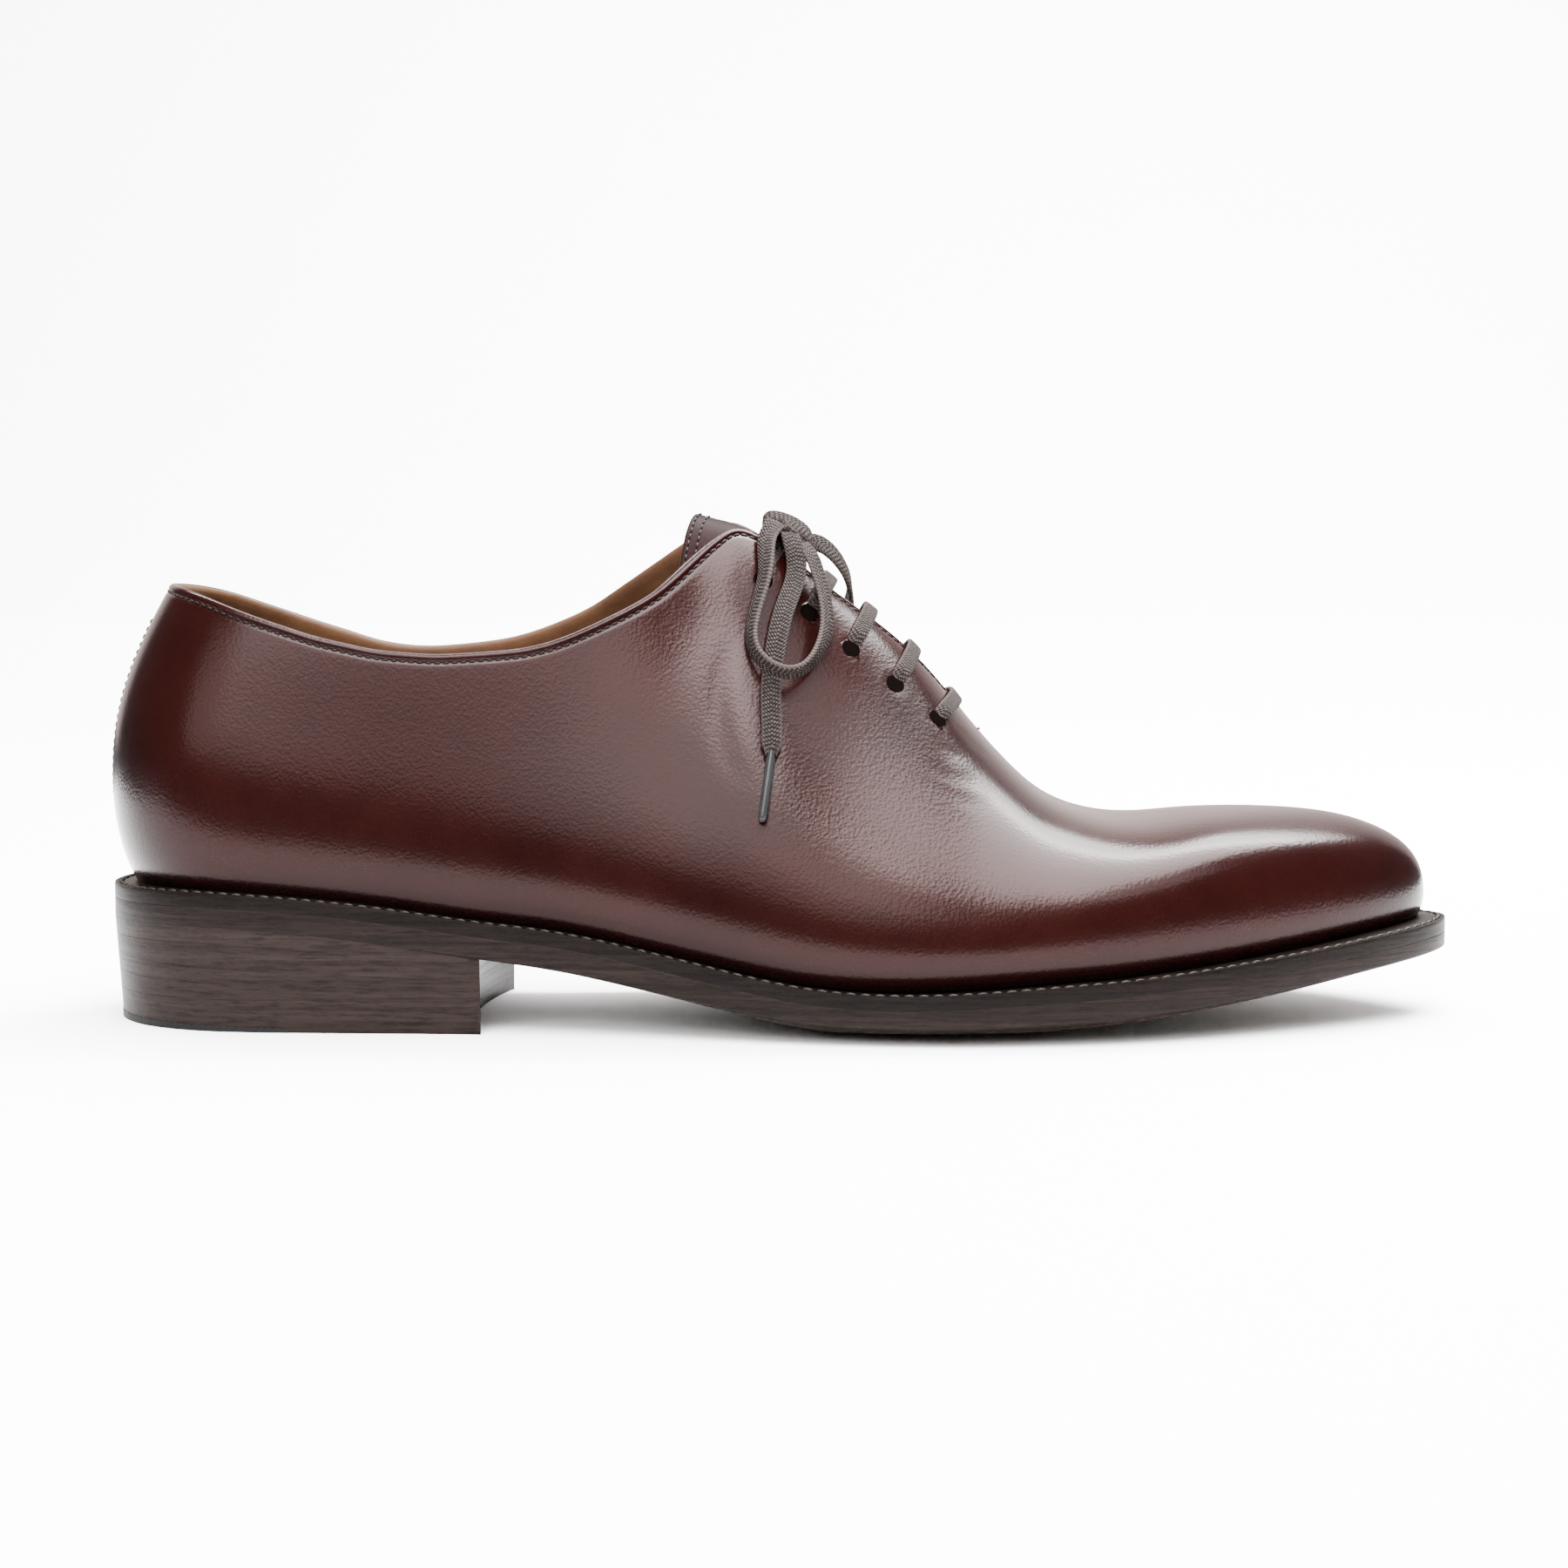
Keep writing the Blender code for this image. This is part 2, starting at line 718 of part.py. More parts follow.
def make_tongue(material, collection):
    """A sheet under the facings, from its slanted top edge down past the end of the slit."""
    across = np.linspace(-1, 1, 13)
    rows = 12
    points = []
    for i in range(rows):
        for share in across:
            end = 133.0 - 7.0 * abs(share) ** 1.3
            x = end + (204.0 - end) * i / (rows - 1)
            out = share * tongue_half(x)
            points.append(skin_at(x, out) - (WALL + TONGUE_CLEAR) * skin_normal(x, out))
    wide = len(across)
    faces = []
    for i in range(rows - 1):
        for j in range(wide - 1):
            a = i * wide + j
            faces.append((a, a + wide, a + wide + 1, a + 1))
    tongue = mesh_object("tongue", points, faces, material, collection, closed=False)
    wall = tongue.modifiers.new("wall", "SOLIDIFY")
    wall.thickness = TONGUE_THICK * MM
    wall.offset = -1
    return tongue


def ribbon(name, path, normals, material, collection):
    """A flat lace along a path, lying square to the normals."""
    profile = ((-1, -0.4), (-0.8, -1), (0.8, -1), (1, -0.4), (1, 0.4), (0.8, 1), (-0.8, 1), (-1, 0.4))
    path = np.array(path)
    along = np.gradient(path, axis=0)
    points = []
    for spot, normal, ahead in zip(path, normals, along):
        across = np.cross(normal, ahead)
        across = across / np.linalg.norm(across)
        for wide, thick in profile:
            points.append(spot + wide * LACE_WIDE / 2 * across + thick * LACE_THICK / 2 * normal)
    faces = ring_faces(len(path), len(profile), "caps")
    return mesh_object(name, points, faces, material, collection)


def make_bars(material, collection):
    """The straight bars at the four lower pairs of eyelets, bowed over the facings."""
    lift = 0.45 + LACE_THICK / 2
    for number, (x, z) in enumerate(EYELETS[1:], start=2):
        left, right = out_at_height(x, z, -1), out_at_height(x, z, 1)
        path, normals = [], []
        for share in np.linspace(0, 1, 13):
            out = left + (right - left) * share
            bow = 4 * share * (1 - share)
            at = x + 4.6 * bow
            normal = skin_normal(at, out)
            path.append(skin_at(at, out) + lift * normal)
            normals.append(normal)
        ribbon(f"lace_bar_{number}", path, normals, material, collection)


def smooth_route(points, spacing):
    """Points at an even spacing on a smooth curve through a route."""
    points = np.array(points, float)
    run = np.concatenate([[0], np.cumsum(np.linalg.norm(np.diff(points, axis=0), axis=1))])
    count = max(3, round(run[-1] / spacing) + 1)
    at = np.linspace(0, run[-1], count)
    return np.column_stack([smooth(run, points[:, k])(at) for k in range(3)])


def tube(name, points, width, material, collection):
    curve = bpy.data.curves.new(name, "CURVE")
    curve.dimensions = "3D"
    curve.bevel_depth = width / 2 * MM
    curve.bevel_resolution = 2
    curve.use_fill_caps = True
    line = curve.splines.new("POLY")
    line.points.add(len(points) - 1)
    for point, place in zip(line.points, points):
        point.co = (*((place - SHIFT) * MM), 1.0)
    made = bpy.data.objects.new(name, curve)
    curve.materials.append(material)
    collection.objects.link(made)
    return made


def make_knot(material, collection):
    work = bmesh.new()
    bmesh.ops.create_uvsphere(work, u_segments=16, v_segments=10, radius=1.0)
    mesh = bpy.data.meshes.new("lace_knot")
    size = Matrix.Diagonal((*(half * MM for half in KNOT_HALF), 1.0))
    bmesh.ops.transform(work, matrix=size, verts=work.verts)
    work.to_mesh(mesh)
    work.free()
    mesh.materials.append(material)
    knot = bpy.data.objects.new("lace_knot", mesh)
    knot.location = Vector((np.array(KNOT_PLACE) - SHIFT) * MM)
    knot.rotation_euler = (0.0, KNOT_TURN, 0.0)
    collection.objects.link(knot)


def make_bow(lace_material, aglet_material, collection):
    """The knot, its two loops and its two ends with their aglets."""
    make_knot(lace_material, collection)
    for word, loop, end, aim in (
        ("lateral", LOOP_LATERAL, END_LATERAL, AGLET_AIM_LATERAL),
        ("medial", LOOP_MEDIAL, END_MEDIAL, AGLET_AIM_MEDIAL),
    ):
        tube(f"lace_loop_{word}", smooth_route(loop, 2 * LACE_CORD), LACE_CORD, lace_material, collection)
        tube(f"lace_end_{word}", smooth_route(end, 2 * LACE_CORD), LACE_CORD, lace_material, collection)
        ahead = np.subtract(end[-1], end[-2])
        start = np.array(end[-1]) + (GAP + 0.05) * ahead / np.linalg.norm(ahead)
        aim = np.subtract(aim, start)
        line = [start, start + AGLET_LONG * aim / np.linalg.norm(aim)]
        tube(f"aglet_{word}", line, AGLET_WIDE, aglet_material, collection)


def main():
    clear_scene()
    shoe = new_collection("whole_cut_oxford")
    cutters = new_collection("cutters")
    cutters.hide_render = True
    burgundy = new_material("burgundy_calf", (0.105, 0.018, 0.018), 0.32)
    sole_edge = new_material("dark_sole_edge", (0.018, 0.011, 0.010), 0.35)
    stacked = new_material("dark_stacked_leather", (0.020, 0.012, 0.010), 0.38)
    rubber = new_material("black_rubber", (0.012, 0.011, 0.011), 0.6)
    sock = new_material("tan_sock_leather", (0.33, 0.15, 0.06), 0.55)
    lace = new_material("dark_grey_lace", (0.12, 0.10, 0.095), 0.7)
    aglet = new_material("dark_aglet", (0.04, 0.04, 0.042), 0.3)
    make_outsole(sole_edge, shoe)
    make_welt(sole_edge, shoe)
    make_heel(stacked, rubber, shoe, cutters)
    make_insole(sock, shoe)
    make_upper(burgundy, shoe, cutters)
    make_tongue(burgundy, shoe)
    make_bars(lace, shoe)
    make_bow(lace, aglet, shoe)
    for cutter in cutters.objects:
        cutter.hide_render = True
        cutter.display_type = "WIRE"


main()
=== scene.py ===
"""The looks of a right whole cut oxford in burgundy calf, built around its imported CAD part.

Sizes are in millimetres and become metres where a mesh is made. In the tables x runs from the back of
the heel to the tip of the toe, y from the lateral side (minus) to the medial side (plus), z is up from
the floor, and each mesh is moved onto the row's own frame when it is made.
"""

import math

import bmesh
import bpy
import numpy as np
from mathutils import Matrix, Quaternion, Vector


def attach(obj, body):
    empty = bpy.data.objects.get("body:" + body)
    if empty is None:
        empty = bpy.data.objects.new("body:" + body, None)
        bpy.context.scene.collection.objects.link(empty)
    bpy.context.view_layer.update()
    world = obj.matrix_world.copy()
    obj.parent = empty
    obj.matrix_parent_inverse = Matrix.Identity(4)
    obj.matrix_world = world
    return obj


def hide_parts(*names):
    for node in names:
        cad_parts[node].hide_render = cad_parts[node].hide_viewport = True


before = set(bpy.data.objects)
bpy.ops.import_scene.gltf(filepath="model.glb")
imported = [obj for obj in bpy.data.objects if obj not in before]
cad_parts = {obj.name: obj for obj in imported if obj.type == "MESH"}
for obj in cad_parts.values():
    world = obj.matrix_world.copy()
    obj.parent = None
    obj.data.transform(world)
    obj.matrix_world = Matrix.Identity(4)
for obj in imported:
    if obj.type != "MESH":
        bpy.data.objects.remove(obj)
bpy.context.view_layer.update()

# Driving sizes, as in the CAD part
MM = 0.001
LENGTH = 303.0
GAP = 0.3
WALL = 2.0
WELT_THICK = 2.9
WELT_OVERLAP = 1.2
INSOLE_CLEAR = 2.4
INSOLE_RISE = 1.3
TOP_PIECE = 7.2
HEEL_TAPER = 1.5
BREAST_LATERAL = 86.0
BREAST_MEDIAL = 87.5
BREAST_HOLLOW = 4.5
NOTCH = 10.0
NOTCH_TOP = 13.0
SLIT_END = 196.5
TONGUE_THICK = 1.6
TONGUE_CLEAR = 0.6
EYELET_HOLE = 3.0
EYELET_RIM = 2.3
LACE_WIDE = 3.8
BOW_WIDE = 4.5
LACE_THICK = 1.2
AGLET_WIDE = 2.4
AGLET_LONG = 14.5

# Camera, fitted to the heel, the toe, the topline and the floor in the photo
CAMERA_PLACE = (152.0, -650.0, 107.0)
CAMERA_DOWN = math.radians(4.85)
CAMERA_LENS = 65.8

# The floor that the shoe mirrors, in metres: half its width, and how far it reaches in front and behind
FLOOR_HALF = 0.6
FLOOR_FRONT = 0.17
FLOOR_BACK = 0.5

# The white sweep round it: half its width, its front, where it starts to rise, the round and its top
SWEEP_HALF = 3.0
SWEEP_FRONT = 2.2
SWEEP_BACK = 1.0
SWEEP_ROUND = 0.6
SWEEP_TOP = 2.6

# Rows of points of the upper: evenly spaced up each rib, then close together below the edge at these
# distances from it, round the edge, and evenly spaced down the inside
EVEN_ROWS = 46
EDGE_ROWS = (5.0, 3.9, 3.2, 2.7, 2.4, 2.1, 1.8, 1.5, 1.25, 1.0)
EDGE_TURNS = np.radians((22.5, 45, 67.5, 112.5, 135, 157.5))
INNER_ROWS = 14

# Stitches: how far from the leather's edge, and one stitch to the next
STITCH_IN = 2.1
STITCH_PITCH = 1.9
WELT_STITCH_PITCH = 3.1
TACK_PITCH = 0.75

# The rolled rim ends between these places beside the slit, and its stitches at the third
RIM_FADE = (188.0, 195.0)
ROW_END = 193.0

# The back seam's stitches: the rib they run along, and its points
SEAM_RIB = 5
SEAM_ROWS = slice(3, 44)

# Height above which the leather is folded
FOLDS_FROM = 25.0

# The tongue: its top edge in the middle, how far its corners lie back, its front end, its half width, and
# how much narrower it is at the front than at TONGUE_EVEN
TONGUE_TOP = 133.0
TONGUE_DROP = 7.0
TONGUE_FRONT = 204.0
TONGUE_HALF = 24.0
TONGUE_TAPER = 6.0
TONGUE_EVEN = 150.0

# The straight bars: clear of the leather, bow towards the toe, how deep, how far in and how much narrower
# and thicker they dip into the eyelets
BAR_LIFT = 0.35
BAR_BOW = 4.6
BAR_DIP = 2.6
BAR_DIP_LONG = 3.2
BAR_PINCH = 1.3
BAR_SWELL = 0.5

# The heel: first lift, the lower seams' height at the back and their fall to the breast, and how far the
# wedge for the cut corner reaches
FIRST_LIFT = 3.4
LIFT_SEAMS = ((15.2, 3.6), (11.3, 1.9))
CORNER_OUT = 9.0
CORNER_FAR = 30.0

# Where the sections turn into a fan at heel and toe, and how softly
HEEL_FAN = 38.0
HEEL_FAN_SOFT = 20.0
TOE_FAN = 264.0
TOE_FAN_SOFT = 18.0

# The lace's herringbone: length of one rib, width of one row, and where the painted highlight along its edge
# starts and reaches full strength
RIB_LONG = 0.95
ROW_WIDE = 1.0
EDGE_HIGHLIGHT_FROM = 1.45
EDGE_HIGHLIGHT_TO = 1.9

# The rubber of the top piece: how far it reaches forwards, and the spacing of its teeth
RUBBER_REACH = 44.0
TOOTH = 0.85

# x, half width of the sole edge on the lateral side, and on the medial side
OUTLINE = (
    (0, 0, 0), (8, 20.5, 20.5), (20, 28.8, 28.6), (40, 32.8, 32.0), (62, 34.0, 32.4), (86, 35.4, 31.6),
    (110, 38.4, 30.6), (135, 43.6, 33.2), (160, 48.9, 40.2), (180, 51.4, 46.6), (200, 51.6, 50.9),
    (220, 49.4, 52.6), (240, 44.2, 50.6), (260, 36.2, 44.2), (277, 27.4, 34.6), (290, 18.6, 23.8),
    (298, 10.8, 13.6), (303, -0.8, 0.8),
)

# x, top of the welt, feather edge in from the sole edge, bulge of the upper over it, height of the bulge
FEATHER = (
    (0, 30.4, 5.0, 4.8, 22.0), (20, 30.7, 4.2, 4.0, 20.0), (40, 29.8, 3.8, 3.4, 17.0),
    (60, 28.0, 3.5, 3.2, 15.5), (86, 24.6, 3.2, 3.5, 14.0), (103, 22.6, 3.2, 3.6, 13.4),
    (121, 19.2, 3.2, 3.6, 13.0), (139, 15.3, 3.6, 3.4, 12.4), (153, 12.6, 4.1, 3.2, 11.8),
    (170, 11.1, 4.7, 3.1, 10.8), (195, 11.7, 5.2, 2.8, 9.4), (211, 12.8, 5.3, 2.5, 8.9),
    (225, 13.7, 5.4, 2.3, 8.3), (239, 14.9, 5.6, 2.1, 7.8), (254, 16.5, 5.8, 1.9, 7.2),
    (269, 18.2, 6.0, 1.8, 6.6), (284, 20.0, 6.2, 1.7, 6.0), (303, 22.0, 6.5, 1.6, 5.5),
)

# x, thickness of welt and outsole together at the edge
SOLE_EDGE = (
    (0, 7.5), (60, 7.6), (86, 8.0), (140, 7.8), (160, 7.0), (181, 7.1), (211, 7.6), (254, 7.3),
    (284, 6.8), (303, 6.8),
)

# x, height of the tread along the middle of the sole, flat on the floor under the ball
TREAD = (
    (86, 16.6), (100, 14.0), (120, 9.6), (140, 4.6), (155, 1.2), (165, 0.0), (205, 0.0), (215, 0.6),
    (235, 3.0), (260, 7.0), (285, 11.6), (303, 15.0),
)

# x, height of the ridge over the instep and toes, its place across the shoe
RIDGE = (
    (0, 117, 0.0), (20, 118, 0.0), (40, 122, 0.0), (75, 130, -1.0), (100, 133, -2.2), (120, 125, -2.4),
    (133, 115.8, -1.8), (141, 113.6, -1.2), (146, 111.3, -0.8), (162, 98.2, 1.0), (172.4, 90.2, 2.2),
    (183, 80.4, 3.2), (195.3, 65.4, 4.1), (203, 56.9, 4.8), (209, 51.4, 5.2), (215, 47.8, 5.6),
    (221, 45.7, 5.9), (227, 44.7, 5.9), (233, 44.6, 5.6), (239, 45.2, 5.2), (245, 45.9, 4.6),
    (251, 46.3, 3.9), (257, 46.5, 3.2), (264, 46.5, 2.4),
)

# x, then for the lateral and the medial side: side width and its height, shoulder width and its
# height, width of the crown, as shares of the section's width and height
SECTION = (
    (0, 0.915, 0.53, 0.59, 0.79, 0.28, 0.915, 0.53, 0.59, 0.79, 0.28),
    (40, 0.905, 0.40, 0.66, 0.80, 0.28, 0.93, 0.49, 0.63, 0.79, 0.28),
    (75, 0.90, 0.36, 0.66, 0.78, 0.28, 0.95, 0.43, 0.67, 0.76, 0.28),
    (110, 0.83, 0.37, 0.53, 0.76, 0.24, 0.91, 0.42, 0.60, 0.77, 0.24),
    (141, 0.83, 0.42, 0.47, 0.77, 0.20, 0.89, 0.42, 0.56, 0.80, 0.27),
    (165, 0.84, 0.42, 0.46, 0.78, 0.18, 0.90, 0.42, 0.54, 0.80, 0.19),
    (195, 0.90, 0.45, 0.53, 0.83, 0.18, 0.95, 0.46, 0.60, 0.84, 0.22),
    (220, 0.965, 0.58, 0.72, 0.93, 0.32, 1.00, 0.52, 0.74, 0.92, 0.35),
    (245, 0.975, 0.63, 0.79, 0.94, 0.38, 0.98, 0.56, 0.74, 0.90, 0.34),
    (270, 0.965, 0.62, 0.78, 0.91, 0.36, 0.96, 0.59, 0.72, 0.87, 0.32),
    (303, 0.956, 0.594, 0.71, 0.865, 0.32, 0.956, 0.594, 0.71, 0.865, 0.32),
)

# x, height of the collar on the lateral side; past the facing's corner it rises clear of the leather
COLLAR_LATERAL = (
    (0, 99.0), (12, 98.0), (16, 97.4), (24, 95.3), (30, 93.1), (37, 90.6), (43.5, 88.5), (50, 86.5),
    (57, 84.9), (63, 83.7), (69, 83.1), (76, 82.7), (82, 82.9), (88, 83.3), (95, 84.0), (102, 85.7),
    (109, 88.5), (116.5, 92.1), (124, 96.5), (129.5, 101.2), (135, 106.3), (138, 108.6), (141, 110.2),
    (150, 114.0), (165, 120.0),
)

# x, height of the collar on the medial side
COLLAR_MEDIAL = (
    (0, 99.0), (12, 98.0), (16, 97.4), (24, 95.3), (30, 93.1), (37, 90.6), (43.5, 88.3), (50, 86.2),
    (55, 84.5), (62, 83.05), (69, 82.6), (75.5, 83.0), (82, 83.7), (88, 84.7), (94, 86.4),
    (100.5, 88.9), (107, 92.0), (113, 95.9), (119, 100.0), (125, 104.1), (132, 108.6), (140, 111.9),
    (150, 115.0), (165, 121.0),
)

# x, half width of the slit between the facings
SLIT = (
    (128, -6.0), (136, 3.5), (141, 6.6), (146, 7.3), (161, 5.6), (178, 4.5), (187, 3.1), (195, 0.9),
    (196.5, 0.0),
)

# x and z of the five eyelets of each side, from the top down
EYELETS = (
    (147.0, 98.4), (157.3, 91.2), (166.6, 83.3), (176.6, 75.5), (186.2, 67.8),
)

# Routes of the lace, given as x, y, z of points from the knot out
LOOP_LATERAL = (
    (150.3, -7.6, 111.0), (148.8, -10.2, 109.0), (148.0, -17.8, 101.0), (145.3, -24.4, 90.2),
    (146.6, -29.8, 82.0), (152.8, -31.4, 78.7), (159.2, -25.6, 82.6), (161.4, -18.0, 91.4),
    (159.6, -12.6, 99.6), (157.6, -9.8, 104.4), (155.7, -7.6, 106.2),
)
LOOP_MEDIAL = (
    (150.3, 6.4, 111.0), (149.2, 9.4, 108.8), (149.6, 13.2, 103.8), (148.8, 19.0, 94.4),
    (151.0, 24.6, 85.2), (156.6, 27.9, 79.6), (162.8, 25.2, 81.7), (166.6, 17.8, 89.6),
    (167.0, 11.4, 97.2), (163.8, 8.4, 103.4), (159.2, 7.8, 106.6), (155.7, 6.4, 106.2),
)
END_LATERAL = (
    (153.2, -8.4, 108.6), (154.2, -10.6, 105.6), (154.8, -12.8, 101.2), (152.4, -19.4, 92.9),
    (150.2, -25.2, 83.9), (149.2, -30.6, 73.8), (149.4, -35.2, 64.4), (149.2, -36.6, 61.0),
)
END_MEDIAL = (
    (153.2, 7.2, 108.6), (153.8, 9.6, 105.2), (153.8, 12.4, 101.0), (153.4, 17.4, 93.2),
    (154.6, 22.8, 83.4), (155.6, 27.4, 72.8), (155.4, 31.4, 63.0), (155.2, 32.8, 59.4),
)
AGLET_AIM_LATERAL = (147.1, -42.7, 46.1)
AGLET_AIM_MEDIAL = (154.8, 38.0, 44.8)
KNOT_PLACE = (153.0, -0.6, 108.6)
KNOT_TURN = math.radians(42)

# Spots of the lateral side with painted shade, in the hollows below the lower eyelets and at the throat: x
# and z, size, strength
SHADE_SPOTS = (((176, 68), 9.0, 0.55), ((196, 62), 8.0, 0.5), ((207, 50), 10.0, 0.35))

# Folds of the leather on the lateral side: height (minus is a trough), width, x and z along them
FOLDS = (
    (0.5, 13.0, ((122.0, 97.0), (132.0, 101.0), (139.0, 104.0), (144.0, 104.0))),
    (-0.27, 2.0, ((139.6, 86.5), (137.4, 77.0), (136.9, 70.5), (138.6, 61.0), (143.4, 53.8))),
    (0.08, 4.0, ((134.0, 88.0), (131.5, 76.0), (131.0, 66.0), (133.5, 55.0))),
    (-0.10, 2.2, ((149.5, 78.0), (148.6, 70.0), (148.0, 60.0), (147.4, 52.0))),
    (-0.15, 0.9, ((184.0, 63.0), (189.0, 60.5), (194.0, 59.5))),
    (-0.13, 0.8, ((182.0, 58.5), (188.0, 56.0), (193.0, 54.8))),
    (-0.13, 0.8, ((190.0, 66.5), (194.5, 62.0), (198.5, 58.5))),
    (-0.10, 0.8, ((186.5, 52.5), (192.0, 50.5), (197.0, 49.5))),
    (-0.09, 0.7, ((181.0, 61.0), (187.0, 59.0), (191.0, 57.4))),
    (-0.09, 0.7, ((187.0, 56.6), (191.5, 54.9), (196.0, 54.2))),
    (-0.08, 0.7, ((186.0, 66.0), (190.0, 63.4), (194.0, 62.0))),
    (-0.07, 0.7, ((179.0, 56.0), (185.0, 53.8), (191.0, 52.8))),
)


def smooth(xs, ys):
    """A natural cubic spline through the rows of a table."""
    xs = np.array(xs, float)
    ys = np.array(ys, float)
    step = np.diff(xs)
    rows = np.eye(len(xs))
    right = np.zeros(len(xs))
    for i in range(1, len(xs) - 1):
        rows[i, i - 1 : i + 2] = step[i - 1], 2 * (step[i - 1] + step[i]), step[i]
        right[i] = 6 * ((ys[i + 1] - ys[i]) / step[i] - (ys[i] - ys[i - 1]) / step[i - 1])
    bend = np.linalg.solve(rows, right)

    def value(x):
        x = np.clip(x, xs[0], xs[-1])
        i = np.clip(np.searchsorted(xs, x) - 1, 0, len(xs) - 2)
        s = x - xs[i]
        w = step[i]
        slope = (ys[i + 1] - ys[i]) / w - w * (2 * bend[i] + bend[i + 1]) / 6
        return ys[i] + s * (slope + s * (bend[i] / 2 + s * (bend[i + 1] - bend[i]) / (6 * w)))

    return value


def steady(table):
    """A cubic through a table of two columns that never swings past its rows."""
    xs, ys = np.array(table, float).T
    slope = np.diff(ys) / np.diff(xs)
    both = slope[:-1] * slope[1:]
    middle = np.where(both > 0, 2 * both / np.where(both > 0, slope[:-1] + slope[1:], 1), 0)
    turn = np.concatenate([slope[:1], middle, slope[-1:]])

    def value(x):
        x = np.clip(x, xs[0], xs[-1])
        i = np.clip(np.searchsorted(xs, x) - 1, 0, len(xs) - 2)
        w = xs[i + 1] - xs[i]
        s = (x - xs[i]) / w
        ends = ys[i] * (1 + 2 * s) * (1 - s) ** 2 + ys[i + 1] * s * s * (3 - 2 * s)
        return ends + w * (turn[i] * s * (1 - s) ** 2 - turn[i + 1] * s * s * (1 - s))

    return value


def column(table, k):
    return smooth([row[0] for row in table], [row[k] for row in table])


def run_along(points):
    """The distance along a line of points to each of them."""
    return np.concatenate([[0], np.cumsum(np.linalg.norm(np.diff(points, axis=0), axis=1))])


def blend(at, run, rows):
    """Rows at places in between, by straight lines, where run is the place of each row."""
    return np.column_stack([np.interp(at, run, part) for part in np.transpose(rows)])


def curve(at, run, rows):
    """Rows at places in between, by a smooth curve, where run is the place of each row."""
    return np.column_stack([smooth(run, part)(at) for part in np.transpose(rows)])


def resample(points, at):
    """A line of points at other distances along it."""
    return blend(at, run_along(points), points)


def closed_curve(points, count):
    """An even closed curve through a ring of points."""
    wrapped = np.array(points[-4:] + points + points[:4], float)
    run = run_along(wrapped)
    return curve(np.linspace(run[4], run[4 + len(points)], count), run, wrapped)


def edge_half(side):
    """The points of the edge from heel to toe on one side."""
    return slice(None, TIP + 1) if side < 0 else slice(None, TIP - 1, -1)


RING = [(x, -lateral) for x, lateral, _ in OUTLINE] + [(x, medial) for x, _, medial in OUTLINE[-2:0:-1]]
EDGE = closed_curve(RING, 4001)
EDGE_IN = np.gradient(np.vstack([EDGE[-2], EDGE, EDGE[1]]), axis=0)[1:-1, ::-1] * (-1, 1)
TIP = int(EDGE[:, 0].argmax())
SHIFT = np.array([LENGTH / 2, (EDGE[:, 1].min() + EDGE[:, 1].max()) / 2, 0])

welt_top = column(FEATHER, 1)
feather_in = column(FEATHER, 2)
bulge = column(FEATHER, 3)
bulge_high = column(FEATHER, 4)
edge_thick = column(SOLE_EDGE, 1)
tread_middle = steady(TREAD)
ridge_z = column(RIDGE, 1)
ridge_y = column(RIDGE, 2)
sections = [column(SECTION, k) for k in range(1, 11)]
collars = {-1: column(COLLAR_LATERAL, 1), 1: column(COLLAR_MEDIAL, 1)}
slit_half = column(SLIT, 1)


def edge_point(x, side):
    """A point of the sole edge at x on one side, and the direction inwards there."""
    part = edge_half(side)
    spot = blend(x, EDGE[part, 0], EDGE[part])[0]
    return spot, unit(blend(x, EDGE[part, 0], EDGE_IN[part])[0])


def spine(x):
    """The point that the section at x grows from; it slows down to make fans at heel and toe."""
    back = HEEL_FAN + 0.5 * ((x - HEEL_FAN) + math.hypot(x - HEEL_FAN, HEEL_FAN_SOFT))
    front = TOE_FAN - 0.5 * ((TOE_FAN - back) + math.hypot(TOE_FAN - back, TOE_FAN_SOFT))
    return np.array([front, ridge_y(front)])


def spline_weights(v):
    """Weights of seven control points for a clamped cubic at each v from 0 to 1."""
    knots = (0, 0, 0, 0, 0.25, 0.5, 0.75, 1, 1, 1, 1)
    v = np.minimum(v, 1 - 1e-9)
    share = [np.where((v >= knots[i]) & (v < knots[i + 1]), 1.0, 0.0) for i in range(10)]
    for degree in (1, 2, 3):
        raised = []
        for i in range(10 - degree):
            left = knots[i + degree] - knots[i]
            right = knots[i + degree + 1] - knots[i + 1]
            rise = (v - knots[i]) / left * share[i] if left else 0.0
            fall = (knots[i + degree + 1] - v) / right * share[i + 1] if right else 0.0
            raised.append(rise + fall)
        share = raised
    return np.array(share)


WEIGHTS = spline_weights(np.linspace(0, 1, 401))


def rib(x, side):
    """The whole section of the last at x on one side, from the feather edge up to the ridge."""
    spot, inward = edge_point(x, side)
    foot = spot + inward * feather_in(x)
    centre = spine(x)
    reach = np.linalg.norm(foot - centre)
    low = welt_top(foot[0]) + GAP
    high = ridge_z(centre[0])
    swell = bulge(x)
    wide = reach + swell
    half = sections[:5] if side < 0 else sections[5:]
    side_wide, side_high, shoulder_wide, shoulder_high, crown = [shape(x) for shape in half]
    net = np.array(
        [
            (reach, low),
            (reach + 0.9 * swell, low + 0.35 * bulge_high(x)),
            (wide + 0.3 * swell, low + 1.25 * bulge_high(x)),
            (side_wide * wide, low + side_high * (high - low)),
            (shoulder_wide * wide, low + shoulder_high * (high - low)),
            (crown * wide, high),
            (0, high),
        ]
    )
    out, up = WEIGHTS.T @ net[:, 0], WEIGHTS.T @ net[:, 1]
    return np.column_stack([centre + out[:, None] * (foot - centre) / reach, up]), out


def soft_min(a, b, k):
    h = np.clip(0.5 + 0.5 * (b - a) / k, 0, 1)
    return b + (a - b) * h - k * h * (1 - h)


